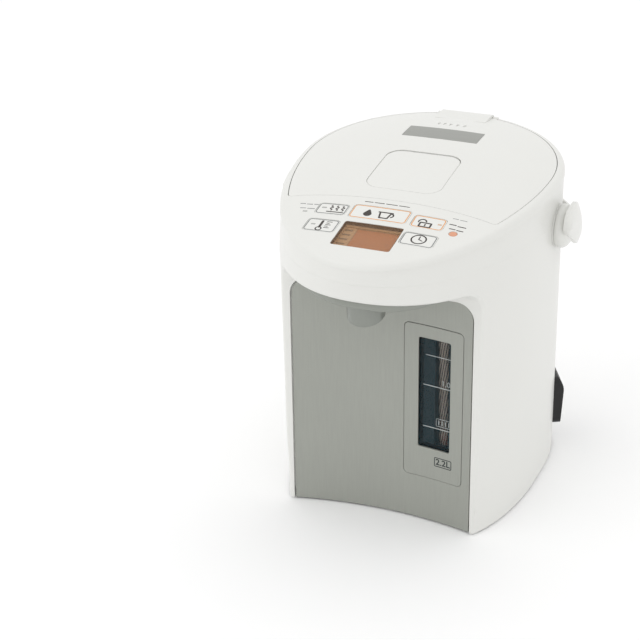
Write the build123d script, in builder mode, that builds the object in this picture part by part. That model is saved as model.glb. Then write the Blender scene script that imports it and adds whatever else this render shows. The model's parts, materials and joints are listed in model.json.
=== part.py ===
from build123d import *
import os
from math import copysign, cos, sin, tan, atan, radians, degrees, hypot, pi, sqrt, exp, log, tanh

# Electric thermo pot, 2.2 litre, with an oval body, a forward beak, a hinged lid and a carrying handle.
# Millimetres. Z is up, the pouring side faces -Y, X is to the right seen from the pouring side.
# The origin is on the table, under the middle of the pot.

# ---------------------------------------------------------------- driving dimensions
MID_Y = 26.0                 # widest station of the oval body
BASE_HALF_W = 102.8          # half width at the table
HALF_W_GROWTH = 4.7          # extra half width at 250 mm height
BASE_REAR = 98.0             # rear half length at the table
REAR_GROWTH = 6.0            # extra rear half length at 250 mm height
FRONT_Y = -131.0             # front of the oval below the beak flare
FLARE = 0.43                 # forward flare of the beak, mm per mm of height
FLARE_Z0 = 210.0             # flare starts
FLARE_Z1 = 244.0             # flare ends
STEP = 0.6                   # lower shells stand in from the rim roll by this much
WALL = 2.6                   # moulded shell thickness
BODY_Z0 = 1.5                # lower edge of the outer body
SEAM_Z = 230.0               # seam between outer body and shoulder ring
RIM_DROP = 2.2               # rim roll starts this far below the rim plane
RIM_FILLET = 5.0             # roundness of the rim

PANEL_Y0 = -91.1             # front flange plane at the table
PANEL_SLOPE = 0.0406         # lean of the front face
PANEL_HALF = 76.5            # half chord of the hollow front panel
PANEL_SAG = 9.35             # depth of the hollow
OPEN_HALF = 75.5             # half width of the panel opening
OPEN_TOP = 200.0             # top of the panel opening
OPEN_R = 15.0                # upper corners of the opening
PANEL_GAP = 1.0              # shadow gap around the panel
LIP_Z = 211.5                # underside of the beak lip
LIP_R = 14.0                 # hollow radius from the front face to the beak

VES_X, VES_Y = 0.0, 26.0     # vessel axis
VES_RI = 74.0                # inner radius of the vessel, 57.8 mm of height per litre
VES_RO = 80.0                # outer radius of the vacuum jacket
VES_BOTTOM = 66.0            # inside bottom of the vessel
VES_TOP = 238.0              # top of the vessel flange
MOUTH_R = 64.0               # mouth radius

WELL_INSET = 6.0             # lid pocket, in from the rim
WELL_FLOOR = 244.0           # lid pocket floor
WELL_FRONT = -55.0           # front edge of the lid pocket on the centre line
LID_GAP = 0.5                # gap around the lid
HINGE_Y, HINGE_Z = 124.0, 264.8   # lid hinge axis
HINGE_R = 4.2                # hinge knuckle radius

LEVER_AXIS_Y, LEVER_AXIS_Z = 21.8, 267.0   # lid lever pivot axis
PIVOT_Y, PIVOT_Z = 30.0, 222.0    # handle pivot axis
PIVOT_R = 6.0
BAIL_OFF = 15.8              # outer face of the handle, out from the body
BAIL_T = 4.5                 # handle strap thickness
BAIL_Z0, BAIL_Z1 = 189.5, 212.0   # handle strap, lower and upper edge at the rear

TUBE_X, TUBE_Y = 48.0, -68.9      # gauge tube axis
TUBE_R = 5.5
SPOUT_Y = -111.0             # spout axis
PUMP_X, PUMP_Y = 35.0, -18.0      # pump axis

os.makedirs("parts", exist_ok=True)


# ---------------------------------------------------------------- body surfaces
def softplus(x, s):
    u = x / s
    return s * (u if u > 30 else log(1 + exp(u)))


def front_y(z):
    return FRONT_Y - FLARE * softplus(z - FLARE_Z0, 3.0) + FLARE * softplus(z - FLARE_Z1, 3.0)


def outline(z, inset=0.0, n=44):
    """Closed oval outline of the body at height z, moved inwards by inset."""
    t = z / 250.0
    a = BASE_HALF_W + HALF_W_GROWTH * t
    br = BASE_REAR + REAR_GROWTH * t
    nr = 2.45 - 0.41 * min(t, 1.06)
    nf = 2.55 - 0.0014 * min(z, 212) - 0.0103 * max(0, min(z - 212, 34))
    bf = MID_Y - front_y(z)

    def at(th):
        c, s = cos(th), sin(th)
        nn, b = (nr, br) if s > 0 else (nf, bf)
        return a * copysign(abs(c) ** (2 / nn), c), MID_Y + b * copysign(abs(s) ** (2 / nn), s)

    pts = []
    for i in range(n):
        th = 2 * pi * i / n
        x, y = at(th)
        if inset:
            x1, y1 = at(th - 0.01)
            x2, y2 = at(th + 0.01)
            dx, dy = x2 - x1, y2 - y1
            length = hypot(dx, dy)
            x, y = x - inset * dy / length, y + inset * dx / length
        pts.append((x, y))
    return pts


LEVELS = [0, 50, 100, 150, 185, 204, 216, 232, 250, 275, 300]


def oval_solid(inset):
    """The oval body envelope from the table up, moved inwards by inset."""
    with BuildPart() as solid:
        for z in LEVELS:
            with BuildSketch(Plane.XY.offset(z)):
                with BuildLine():
                    Spline(outline(z, inset), periodic=True)
                make_face()
        loft()
    return solid.part


def rim_z(y):
    return 257.65 + 0.0658 * (y - MID_Y)


def crown_z(x, y):
    zt = 271.355 + 0.073 * (y - MID_Y) - 0.000348 * (y - MID_Y) ** 2
    b = 104.0 if y > MID_Y else 171.5
    rho = ((abs(x) / 107.5) ** 2.03 + (abs(y - MID_Y) / b) ** 2.03) ** (1 / 2.03)
    if rho > 1.08:
        rho = 1.08 + 0.08 * tanh((rho - 1.08) / 0.08)
    return zt - (zt - (rim_z(y) + 3.2)) * rho ** 3.2


CROWN_SOLIDS = {}


def above_crown(drop):
    """Everything above the crown surface lowered by drop."""
    if drop in CROWN_SOLIDS:
        return CROWN_SOLIDS[drop]
    grid = [[Vector(-126 + 252 * i / 24, -165 + 315 * j / 30,
                    crown_z(-126 + 252 * i / 24, -165 + 315 * j / 30) - drop)
             for j in range(31)] for i in range(25)]
    sheet = Face.make_surface_from_array_of_points(grid, tol=0.02)
    with BuildPart() as solid:
        extrude(sheet, amount=90, dir=(0, 0, 1))
    CROWN_SOLIDS[drop] = solid.part
    return solid.part


def rim_slab(c0, c1):
    """Slab between the rim plane shifted by c0 and by c1."""
    with BuildPart() as solid:
        with BuildSketch(Plane.YZ.offset(-150)):
            with BuildLine():
                Polyline((-170, rim_z(-170) + c0), (170, rim_z(170) + c0),
                         (170, rim_z(170) + c1), (-170, rim_z(-170) + c1), close=True)
            make_face()
        extrude(amount=300)
    return solid.part


def front_plane_y(z):
    return PANEL_Y0 + PANEL_SLOPE * z


def front_cutter(back, lift):
    """Space in front of the leaning front face and under the beak; back and lift move its faces into the body."""
    r = LIP_R - back
    z_lip = LIP_Z + lift
    z_t = z_lip - r
    y_t = front_plane_y(z_t) + back
    with BuildPart() as solid:
        with BuildSketch(Plane.YZ.offset(-150)):
            with BuildLine():
                Polyline((front_plane_y(-20) + back, -20), (y_t, z_t))
                TangentArc((y_t, z_t), (y_t - r, z_lip), tangent=(PANEL_SLOPE, 1))
                Polyline((y_t - r, z_lip), (-220, z_lip), (-220, -20), (front_plane_y(-20) + back, -20))
            make_face()
        extrude(amount=300)
    return solid.part


def hollow_slice(d0, d1, z0, z1):
    """Curved leaning slice behind the hollow front panel, between depths d0 and d1."""
    x = 84.0
    radius = (PANEL_HALF ** 2 + PANEL_SAG ** 2) / (2 * PANEL_SAG)
    edge = sqrt(radius ** 2 - x ** 2) - (radius - PANEL_SAG)
    y0 = front_plane_y(z0)
    with BuildPart() as solid:
        with BuildSketch(Plane.XY.offset(z0)):
            with BuildLine():
                ThreePointArc((-x, y0 + edge + d0), (0, y0 + PANEL_SAG + d0), (x, y0 + edge + d0))
                Line((x, y0 + edge + d0), (x, y0 + edge + d1))
                ThreePointArc((x, y0 + edge + d1), (0, y0 + PANEL_SAG + d1), (-x, y0 + edge + d1))
                Line((-x, y0 + edge + d1), (-x, y0 + edge + d0))
            make_face()
        extrude(amount=(z1 - z0) * sqrt(1 + PANEL_SLOPE ** 2), dir=(0, PANEL_SLOPE, 1))
    return solid.part


def front_prism(x0, x1, z0, z1, r, y0=-130.0, y1=-50.0):
    """Rounded rectangle seen from the front, through y0 to y1."""
    with BuildPart() as solid:
        with BuildSketch(Plane(origin=((x0 + x1) / 2, y0, (z0 + z1) / 2), x_dir=(1, 0, 0), z_dir=(0, 1, 0))):
            RectangleRounded(x1 - x0, z1 - z0, r)
        extrude(amount=y1 - y0)
    return solid.part


def deck_prism(x0, x1, y0, y1, r, z0=225.0, z1=285.0):
    """Rounded rectangle seen from above, through z0 to z1."""
    with BuildPart() as solid:
        with BuildSketch(Plane(origin=((x0 + x1) / 2, (y0 + y1) / 2, z0), x_dir=(1, 0, 0), z_dir=(0, 0, 1))):
            RectangleRounded(x1 - x0, y1 - y0, r)
        extrude(amount=z1 - z0)
    return solid.part


def deck_piece(x0, x1, y0, y1, r, top, bottom):
    """Rounded rectangle seen from above that follows the crown, from depth top to depth bottom."""
    with BuildPart() as solid:
        add(deck_prism(x0, x1, y0, y1, r))
        add(above_crown(top), mode=Mode.SUBTRACT)
        add(above_crown(bottom), mode=Mode.INTERSECT)
    return solid.part


def lid_prism(inset, front, z0, z1, corner):
    """Footprint of the lid: the oval moved in by inset, cut off by the shallow front edge."""
    with BuildPart() as solid:
        add(oval_solid(inset))
        with BuildSketch(Plane.XY.offset(z0)):
            with BuildLine():
                xs = [-125, -90, -60, -30, 0, 30, 60, 90, 125]
                Spline([(x, front - 0.0009 * x * x) for x in xs])
                Polyline((125, front - 0.0009 * 125 * 125), (125, 170), (-125, 170),
                         (-125, front - 0.0009 * 125 * 125))
            make_face()
        extrude(amount=z1 - z0, mode=Mode.INTERSECT)
        posts = solid.edges().filter_by(lambda e: e.center().Y < 0 and abs(e.center().X) > 60
                                        and e.bounding_box().size.Z > 0.8 * (z1 - z0))
        fillet(posts, corner)
    return solid.part


SKIN0 = oval_solid(0.0)
SKIN_OUT = oval_solid(STEP)
SKIN_IN = oval_solid(STEP + WALL)
ABOVE = above_crown(0.0)
ABOVE_IN = above_crown(WALL)
WELL = lid_prism(WELL_INSET, WELL_FRONT, WELL_FLOOR, 290, 4.5)

# mains inlet, on the rear right of the oval, facing outwards
INLET_W, INLET_H = 34.0, 44.0
INLET_Z = 42.0
INLET_PLANE = Plane(origin=(95.6, 82.0, INLET_Z), x_dir=(-0.474, 0.880, 0), z_dir=(0.880, 0.474, 0))
BOSSES = [(96.2, 14.0), (-96.2, 14.0), (65.5, 103.5), (-65.5, 103.5), (74.5, -79.8), (-74.5, -79.8)]

# ---------------------------------------------------------------- outer body
with BuildPart() as panel_rebate:
    add(front_prism(-79.5, 79.5, 4.8, 203.5, 16.0, -95.0, -60.0))
    add(front_prism(-70.0, 70.0, -30.0, 194.0, 10.0, -96.0, -59.0), mode=Mode.SUBTRACT)
    add(hollow_slice(-30.0, 2.35, -20.0, 230.0), mode=Mode.SUBTRACT)
    add(hollow_slice(5.4, 60.0, -20.0, 230.0), mode=Mode.SUBTRACT)
    add(front_cutter(1.5, 1.5), mode=Mode.SUBTRACT)
    # relief for the gauge tube
    add(front_prism(38.0, 58.0, 188.0, 215.0, 2.0, -100.0, -55.0), mode=Mode.SUBTRACT)

with BuildPart() as underside_hole:
    add(oval_solid(3.4))
    with BuildSketch(Plane.XY.offset(205)):
        with Locations((0, -106.0)):
            RectangleRounded(116.6, 41.6, 8.0)
    extrude(amount=13, mode=Mode.INTERSECT)

with BuildPart() as outer_cavity:
    add(SKIN_IN)
    add(front_cutter(3.0, WALL), mode=Mode.SUBTRACT)

with BuildPart() as outer_body:
    add(SKIN_OUT)
    with BuildSketch(Plane.XY.offset(BODY_Z0)):
        Rectangle(400, 400)
    extrude(amount=SEAM_Z - 0.1 - BODY_Z0, mode=Mode.INTERSECT)
    add(front_cutter(0.0, 0.0), mode=Mode.SUBTRACT)
    corner_edges = outer_body.edges().filter_by(
        lambda e: e.bounding_box().max.Y < -71 and e.bounding_box().max.Z < 215 and e.bounding_box().size.Z > 4)
    lip_edges = outer_body.edges().filter_by(
        lambda e: e.center().Y < -90 and abs(e.bounding_box().max.Z - LIP_Z) < 0.05
        and abs(e.bounding_box().min.Z - LIP_Z) < 0.05 and e.length > 40 and abs(e.center().X) + e.bounding_box().size.Y > 1)
    fillet(corner_edges + [e for e in lip_edges if e.geom_type != GeomType.LINE], 3.0)
    add(outer_cavity.part, mode=Mode.SUBTRACT)
    # opening for the front panel
    with BuildSketch(Plane(origin=(0, -120, 0), x_dir=(1, 0, 0), z_dir=(0, 1, 0))):
        with BuildLine():
            FilletPolyline((-OPEN_HALF, 10), (-OPEN_HALF, -OPEN_TOP), (OPEN_HALF, -OPEN_TOP), (OPEN_HALF, 10),
                           radius=OPEN_R)
            Line((OPEN_HALF, 10), (-OPEN_HALF, 10))
        make_face()
    extrude(amount=55, mode=Mode.SUBTRACT)
    # rebate frame behind the opening that the panel rests on
    add(panel_rebate.part)
    # opening in the underside of the beak for the grey cover
    add(underside_hole.part, mode=Mode.SUBTRACT)
    # inlet opening in the rear right wall
    with BuildSketch(INLET_PLANE.offset(-14)):
        RectangleRounded(INLET_W - 3.0, INLET_H - 3.0, 4.0)
    extrude(amount=22, mode=Mode.SUBTRACT)
    # holes for the handle pivots
    with BuildSketch(Plane.YZ.offset(-112)):
        with Locations((PIVOT_Y, PIVOT_Z)):
            Circle(PIVOT_R + 0.05)
    extrude(amount=224, mode=Mode.SUBTRACT)
    # screw bosses for the base plate
    with BuildSketch(Plane.XY.offset(4.8)):
        with Locations(*BOSSES):
            Circle(4.6)
    extrude(amount=16)
    with BuildSketch(Plane.XY.offset(4.8)):
        with Locations(*BOSSES):
            Circle(1.3)
    extrude(amount=12, mode=Mode.SUBTRACT)
outer_body.part.label = "outer_body"

# ---------------------------------------------------------------- front panel and water gauge
with BuildPart() as front_panel:
    add(hollow_slice(0.3, 2.3, -10.0, 215.0))
    with BuildSketch(Plane(origin=(0, -120, 0), x_dir=(1, 0, 0), z_dir=(0, 1, 0))):
        w, h = OPEN_HALF - PANEL_GAP, OPEN_TOP - PANEL_GAP
        with BuildLine():
            FilletPolyline((-w, -BODY_Z0), (-w, -h), (w, -h), (w, -BODY_Z0), radius=OPEN_R - PANEL_GAP)
            Line((w, -BODY_Z0), (-w, -BODY_Z0))
        make_face()
    extrude(amount=70, mode=Mode.INTERSECT)
    add(front_prism(16.5, 67.2, 39.6, 172.75, 4.3), mode=Mode.SUBTRACT)
    visible = front_panel.faces().sort_by(SortBy.AREA)[-2:].sort_by(Axis.Y)[0]
    fillet(visible.edges(), 0.4)
front_panel.part.label = "front_panel"

with BuildPart() as pane_seat:
    add(hollow_slice(1.6, 20.0, 20.0, 200.0))
    add(front_prism(27.0, 58.0, 64.9, 163.7, 2.0), mode=Mode.INTERSECT)

with BuildPart() as gauge_frame:
    add(hollow_slice(0.15, 4.2, 20.0, 200.0))
    add(front_prism(16.75, 66.95, 39.85, 172.5, 4.0), mode=Mode.INTERSECT)
    add(front_prism(28.8, 56.15, 66.7, 161.9, 1.6), mode=Mode.SUBTRACT)
    add(pane_seat.part, mode=Mode.SUBTRACT)
    with BuildSketch(Plane.XY.offset(60)):
        with Locations((TUBE_X, TUBE_Y)):
            Circle(TUBE_R + 0.4)
    extrude(amount=150, mode=Mode.SUBTRACT)
    visible = gauge_frame.faces().sort_by(SortBy.AREA)[-2:].sort_by(Axis.Y)[0]
    fillet(visible.edges(), 0.3)
gauge_frame.part.label = "gauge_frame"

with BuildPart() as gauge_window:
    add(hollow_slice(1.65, 2.85, 20.0, 200.0))
    add(front_prism(27.2, 57.8, 65.1, 163.5, 1.8), mode=Mode.INTERSECT)
gauge_window.part.label = "gauge_window"

with BuildPart() as gauge_backing:
    # carrier behind the pane, with a trough for the tube
    add(front_prism(27.3, 57.7, 65.2, 163.4, 1.0, -96.0, -62.0))
    add(hollow_slice(-30.0, 3.0, 0.0, 220.0), mode=Mode.SUBTRACT)
    add(front_prism(42.2, 53.8, 67.7, 160.9, 1.0, -96.0, -63.7), mode=Mode.SUBTRACT)
    with BuildSketch(Plane.XY.offset(60)):
        with Locations((TUBE_X, TUBE_Y)):
            Circle(TUBE_R + 0.3)
    extrude(amount=120, mode=Mode.SUBTRACT)
gauge_backing.part.label = "gauge_backing"

with BuildPart() as gauge_tube:
    with BuildSketch(Plane.XY.offset(60)):
        with Locations((TUBE_X, TUBE_Y)):
            Circle(TUBE_R)
            Circle(TUBE_R - 1.2, mode=Mode.SUBTRACT)
    extrude(amount=142)
gauge_tube.part.label = "gauge_tube"

with BuildPart() as gauge_float:
    with BuildSketch(Plane.XY.offset(67.0)):
        with Locations((TUBE_X, TUBE_Y)):
            Circle(TUBE_R - 1.6)
            Circle(1.6, mode=Mode.SUBTRACT)
    extrude(amount=7.0)
    fillet(gauge_float.edges().filter_by(GeomType.CIRCLE).filter_by(lambda e: e.radius > 3), 0.8)
gauge_float.part.label = "gauge_float"

# ---------------------------------------------------------------- beak underside, nozzle, spout
with BuildPart() as beak_core:
    add(oval_solid(3.7 + 2.0))
    with BuildSketch(Plane.XY.offset(204.6)):
        with Locations((0, -106.0)):
            RectangleRounded(112.0, 37.0, 6.0)
    extrude(amount=20, mode=Mode.INTERSECT)
    with BuildSketch(Plane.XZ.offset(60)):
        with BuildLine():
            Spline((-80, 218.5), (-60, 212.2), (-40, 207.9), (-20, 205.3), (0, 204.4), (20, 205.3), (40, 207.9),
                   (60, 212.2), (80, 218.5))
            Polyline((80, 218.5), (80, 260), (-80, 260), (-80, 218.5))
        make_face()
    extrude(amount=90, mode=Mode.INTERSECT)

with BuildPart() as beak_underside:
    add(oval_solid(3.7))
    with BuildSketch(Plane.XY.offset(195)):
        with Locations((0, -106.0)):
            RectangleRounded(116.0, 41.0, 8.0)
    extrude(amount=22.5, mode=Mode.INTERSECT)
    with BuildSketch(Plane.XZ.offset(60)):
        with BuildLine():
            Spline((-80, 216.5), (-60, 210.2), (-40, 205.9), (-20, 203.3), (0, 202.4), (20, 203.3), (40, 205.9),
                   (60, 210.2), (80, 216.5))
            Polyline((80, 216.5), (80, 260), (-80, 260), (-80, 216.5))
        make_face()
    extrude(amount=90, mode=Mode.INTERSECT)
    belly = beak_underside.edges().filter_by(lambda e: e.center().Z < 210.5 and e.bounding_box().size.Z > 0.3
                                             and e.bounding_box().size.Z < 12 and e.center().Y < -88)
    fillet(belly, 4.5)
    add(beak_core.part, mode=Mode.SUBTRACT)
    with BuildSketch(Plane.XY.offset(195)):
        with Locations((0, SPOUT_Y)):
            Circle(14.75)
    extrude(amount=40, mode=Mode.SUBTRACT)
beak_underside.part.label = "beak_underside"

with BuildPart() as nozzle_cover:
    with BuildSketch(Plane.XY.offset(185)):
        with Locations((0, SPOUT_Y)):
            Circle(14.7)
    extrude(amount=25.5)
    with BuildSketch(Plane.XY.offset(208)):
        with Locations((0, SPOUT_Y)):
            Circle(16.5)
            Rectangle(40.0, 26.2, mode=Mode.INTERSECT)
    extrude(amount=2.5)
    # slanted mouth, lower at the front
    with BuildSketch(Plane.YZ.offset(-30)):
        with BuildLine():
            Polyline((SPOUT_Y - 30, 183.6), (SPOUT_Y + 30, 203.4), (SPOUT_Y + 30, 170), (SPOUT_Y - 30, 170), close=True)
        make_face()
    extrude(amount=60, mode=Mode.SUBTRACT)
    with BuildSketch(Plane.XY.offset(180)):
        with Locations((0, SPOUT_Y)):
            Circle(12.9)
    extrude(amount=27.5, mode=Mode.SUBTRACT)
    with BuildSketch(Plane.XY.offset(200)):
        with Locations((0, SPOUT_Y)):
            Circle(5.2)
    extrude(amount=20, mode=Mode.SUBTRACT)
    fillet(nozzle_cover.edges().filter_by(lambda e: e.geom_type == GeomType.ELLIPSE), 0.5)
nozzle_cover.part.label = "nozzle_cover"

with BuildPart() as spout_pipe:
    with BuildSketch(Plane.XY.offset(192.5)):
        with Locations((0, SPOUT_Y)):
            Circle(5.0)
            Circle(3.6, mode=Mode.SUBTRACT)
    extrude(amount=29.5)
spout_pipe.part.label = "spout_pipe"

# ---------------------------------------------------------------- shoulder ring and deck
with BuildPart() as hinge_notch:
    # room for the lid hinge at the rear of the rim
    with BuildSketch(Plane.YZ.offset(-26.3)):
        with BuildLine():
            Polyline((112, 254.0), (145, 254.0), (145, 290), (112, 290), close=True)
        make_face()
    extrude(amount=52.6)

with BuildPart() as shoulder_ring:
    add(SKIN_OUT)
    add(rim_slab(-80.0, -RIM_DROP - 0.02), mode=Mode.INTERSECT)
    with BuildSketch(Plane.XY.offset(SEAM_Z + 0.1)):
        Rectangle(400, 400)
    extrude(amount=60, mode=Mode.INTERSECT)
    add(SKIN_IN, mode=Mode.SUBTRACT)
    add(hinge_notch.part, mode=Mode.SUBTRACT)
shoulder_ring.part.label = "shoulder_ring"

LCD_X0, LCD_X1, LCD_Y0, LCD_Y1 = -24.0, 22.7, -121.5, -89.0
BUTTONS = {
    "dispense_button": (-25.5, 21.0, -84.0, -65.5),
    "boil_button": (-53.0, -28.0, -83.5, -68.0),
    "keepwarm_button": (-53.0, -27.0, -107.5, -90.0),
    "unlock_button": (24.0, 50.0, -84.7, -68.5),
    "timer_button": (24.0, 51.0, -108.5, -91.5),
}
LAMP_X, LAMP_Y, LAMP_R = 58.8, -84.5, 3.4

with BuildPart() as deck_cavity:
    # hollow under the control deck, in front of the lid pocket
    add(oval_solid(3.0))
    with BuildSketch(Plane.XY.offset(235)):
        with BuildLine():
            xs = [-125, -90, -60, -30, 0, 30, 60, 90, 125]
            Spline([(x, WELL_FRONT - 2.5 - 0.0009 * x * x) for x in xs])
            Polyline((125, WELL_FRONT - 2.5 - 0.0009 * 125 * 125), (125, -170), (-125, -170),
                     (-125, WELL_FRONT - 2.5 - 0.0009 * 125 * 125))
        make_face()
    extrude(amount=60, mode=Mode.INTERSECT)
    add(ABOVE_IN, mode=Mode.SUBTRACT)

with BuildPart() as deck_frame:
    add(SKIN0)
    add(rim_slab(-RIM_DROP, 60.0), mode=Mode.INTERSECT)
    add(ABOVE, mode=Mode.SUBTRACT)
    long_edges = deck_frame.edges().filter_by(lambda e: e.length > 300)
    fillet(long_edges.sort_by(lambda e: e.bounding_box().max.Z)[-1], RIM_FILLET)
    add(WELL, mode=Mode.SUBTRACT)
    add(deck_cavity.part, mode=Mode.SUBTRACT)
    add(hinge_notch.part, mode=Mode.SUBTRACT)
    add(deck_prism(LCD_X0, LCD_X1, LCD_Y0, LCD_Y1, 2.0), mode=Mode.SUBTRACT)
    for x0, x1, y0, y1 in BUTTONS.values():
        add(deck_prism(x0, x1, y0, y1, 3.2), mode=Mode.SUBTRACT)
    with BuildSketch(Plane.XY.offset(235)):
        with Locations((LAMP_X, LAMP_Y)):
            Circle(LAMP_R)
    extrude(amount=50, mode=Mode.SUBTRACT)
deck_frame.part.label = "deck_frame"

with BuildPart() as well_outer:
    add(lid_prism(WELL_INSET - 2.0, WELL_FRONT - 2.5, 241.5, 290, 6.0))

with BuildPart() as lid_well:
    add(well_outer.part)
    add(rim_slab(-80.0, -RIM_DROP - 0.04), mode=Mode.INTERSECT)
    add(WELL, mode=Mode.SUBTRACT)
    with BuildSketch(Plane.XY.offset(235)):
        with Locations((VES_X, VES_Y)):
            Circle(69.0)
    extrude(amount=20, mode=Mode.SUBTRACT)
    add(hinge_notch.part, mode=Mode.SUBTRACT)
    # catch slot for the lid latch
    with BuildSketch(Plane.XZ.offset(50)):
        with Locations((0, 250.6)):
            Rectangle(27.0, 5.2)
    extrude(amount=10, mode=Mode.SUBTRACT)
lid_well.part.label = "lid_well"

# ---------------------------------------------------------------- hinge bracket and pin
with BuildPart() as hinge_bracket:
    with BuildSketch(Plane.YZ.offset(-26.0)):
        with BuildLine():
            Polyline((HINGE_Y - HINGE_R * 0.5, HINGE_Z - HINGE_R * 0.866), (124.7, 260.0), (124.7, 254.03),
                     (128.9, 254.03), (128.9, 261.0), (HINGE_Y + HINGE_R, HINGE_Z))
            ThreePointArc((HINGE_Y + HINGE_R, HINGE_Z), (HINGE_Y - HINGE_R * 0.5, HINGE_Z + HINGE_R * 0.866),
                          (HINGE_Y - HINGE_R * 0.5, HINGE_Z - HINGE_R * 0.866))
        make_face()
    extrude(amount=52)
    with BuildSketch(Plane.YZ.offset(-22.1)):
        with BuildLine():
            Polyline((100, 259.6), (150, 259.6), (150, 300), (100, 300), close=True)
        make_face()
    extrude(amount=44.2, mode=Mode.SUBTRACT)
    with BuildSketch(Plane.YZ.offset(-30)):
        with Locations((HINGE_Y, HINGE_Z)):
            Circle(1.55)
    extrude(amount=60, mode=Mode.SUBTRACT)
hinge_bracket.part.label = "hinge_bracket"

with BuildPart() as hinge_pin:
    with BuildSketch(Plane.YZ.offset(-25.9)):
        with Locations((HINGE_Y, HINGE_Z)):
            Circle(1.5)
    extrude(amount=51.8)
hinge_pin.part.label = "hinge_pin"

# ---------------------------------------------------------------- vacuum vessel
VES_PLANE = Plane(origin=(VES_X, VES_Y, 0), x_dir=(1, 0, 0), z_dir=(0, -1, 0))

with BuildPart() as vessel_inner:
    with BuildSketch(VES_PLANE):
        with BuildLine():
            Polyline((0, VES_BOTTOM), (VES_RI - 8, VES_BOTTOM), (VES_RI, VES_BOTTOM + 8), (VES_RI, 216),
                     (MOUTH_R, 232), (MOUTH_R, VES_TOP), (MOUTH_R + 8, VES_TOP), (MOUTH_R + 8, VES_TOP - 1.0),
                     (MOUTH_R + 1, VES_TOP - 1.0), (MOUTH_R + 1, 232.4), (VES_RI + 1, 216.4),
                     (VES_RI + 1, VES_BOTTOM + 7.6), (VES_RI - 7.6, VES_BOTTOM - 1.0), (0, VES_BOTTOM - 1.0),
                     close=True)
        make_face()
    revolve(axis=Axis((VES_X, VES_Y, 0), (0, 0, 1)))
    # water outlet stub
    with BuildSketch(Plane.XY.offset(59.5)):
        with Locations((PUMP_X, PUMP_Y)):
            Circle(5.5)
    extrude(amount=VES_BOTTOM - 0.5 - 59.5)
    with BuildSketch(Plane.XY.offset(50)):
        with Locations((PUMP_X, PUMP_Y)):
            Circle(4.3)
    extrude(amount=30, mode=Mode.SUBTRACT)
vessel_inner.part.label = "vessel_inner"

with BuildPart() as vessel_outer:
    with BuildSketch(VES_PLANE):
        with BuildLine():
            Polyline((46, 61.5), (VES_RO - 8, 61.5), (VES_RO, 69.5), (VES_RO, 220), (MOUTH_R + 9, 234.0),
                     (MOUTH_R + 9, VES_TOP - 1.05), (MOUTH_R + 5, VES_TOP - 1.05), (MOUTH_R + 5, VES_TOP - 2.05),
                     (MOUTH_R + 8, VES_TOP - 2.05), (MOUTH_R + 8, 233.6), (VES_RO - 1, 219.6), (VES_RO - 1, 69.9),
                     (VES_RO - 8.4, 62.5), (47, 62.5), (47, 64.95), (46, 64.95), close=True)
        make_face()
    revolve(axis=Axis((VES_X, VES_Y, 0), (0, 0, 1)))
    with BuildSketch(Plane.XY.offset(50)):
        with Locations((PUMP_X, PUMP_Y)):
            Circle(6.2)
    extrude(amount=14.5, mode=Mode.SUBTRACT)
vessel_outer.part.label = "vessel_outer"

with BuildPart() as vessel_gasket:
    with BuildSketch(VES_PLANE):
        with BuildLine():
            Polyline((MOUTH_R + 3.2, VES_TOP + 0.02), (MOUTH_R + 9, VES_TOP + 0.02), (MOUTH_R + 9, 241.4),
                     (MOUTH_R + 6.8, 241.4), (MOUTH_R + 3.2, 239.0), close=True)
        make_face()
    revolve(axis=Axis((VES_X, VES_Y, 0), (0, 0, 1)))
vessel_gasket.part.label = "vessel_gasket"

with BuildPart() as heater_plate:
    with BuildSketch(Plane.XY.offset(61.9)):
        with Locations((VES_X, VES_Y)):
            Circle(42.0)
            Circle(10.0, mode=Mode.SUBTRACT)
    extrude(amount=3.05)
heater_plate.part.label = "heater_plate"

with BuildPart() as heater_clamp:
    with BuildSketch(Plane.XY.offset(59.8)):
        with Locations((VES_X, VES_Y)):
            Circle(40.0)
            Circle(10.0, mode=Mode.SUBTRACT)
    extrude(amount=2.05)
    with BuildSketch(Plane.XY.offset(57.0)):
        with Locations((VES_X, VES_Y + 26)):
            Circle(9.0)
    extrude(amount=2.85)
heater_clamp.part.label = "heater_clamp"

with BuildPart() as thermistor:
    with BuildSketch(Plane.XY.offset(52.0)):
        with Locations((VES_X, VES_Y)):
            Circle(5.0)
    extrude(amount=12.9)
    with BuildSketch(Plane.XY.offset(52.0)):
        with Locations((VES_X, VES_Y)):
            Circle(8.0)
    extrude(amount=2.0)
thermistor.part.label = "thermistor"

with BuildPart() as thermostat:
    with BuildSketch(Plane.XY.offset(50.0)):
        with Locations((VES_X, VES_Y + 26)):
            Circle(8.0)
    extrude(amount=6.95)
    with BuildSketch(Plane.XY.offset(44.0)):
        with Locations((VES_X - 4, VES_Y + 26), (VES_X + 4, VES_Y + 26)):
            Rectangle(0.8, 5.0)
    extrude(amount=6.0)
thermostat.part.label = "thermostat"

# ---------------------------------------------------------------- pump
with BuildPart() as suction_sleeve:
    with BuildSketch(Plane.XY.offset(56.2)):
        with Locations((PUMP_X, PUMP_Y)):
            Circle(7.6)
            Circle(5.55, mode=Mode.SUBTRACT)
    extrude(amount=5.0)
suction_sleeve.part.label = "suction_sleeve"

with BuildPart() as pump_cover:
    with BuildSketch(Plane.XY.offset(53.6)):
        with Locations((PUMP_X, PUMP_Y)):
            Circle(20.0)
    extrude(amount=2.4)
    with BuildSketch(Plane.XY.offset(56.0)):
        with Locations((PUMP_X, PUMP_Y)):
            Circle(5.5)
    extrude(amount=3.3)
    with BuildSketch(Plane.XY.offset(50.0)):
        with Locations((PUMP_X, PUMP_Y)):
            Circle(4.3)
    extrude(amount=12.0, mode=Mode.SUBTRACT)
pump_cover.part.label = "pump_cover"

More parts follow.
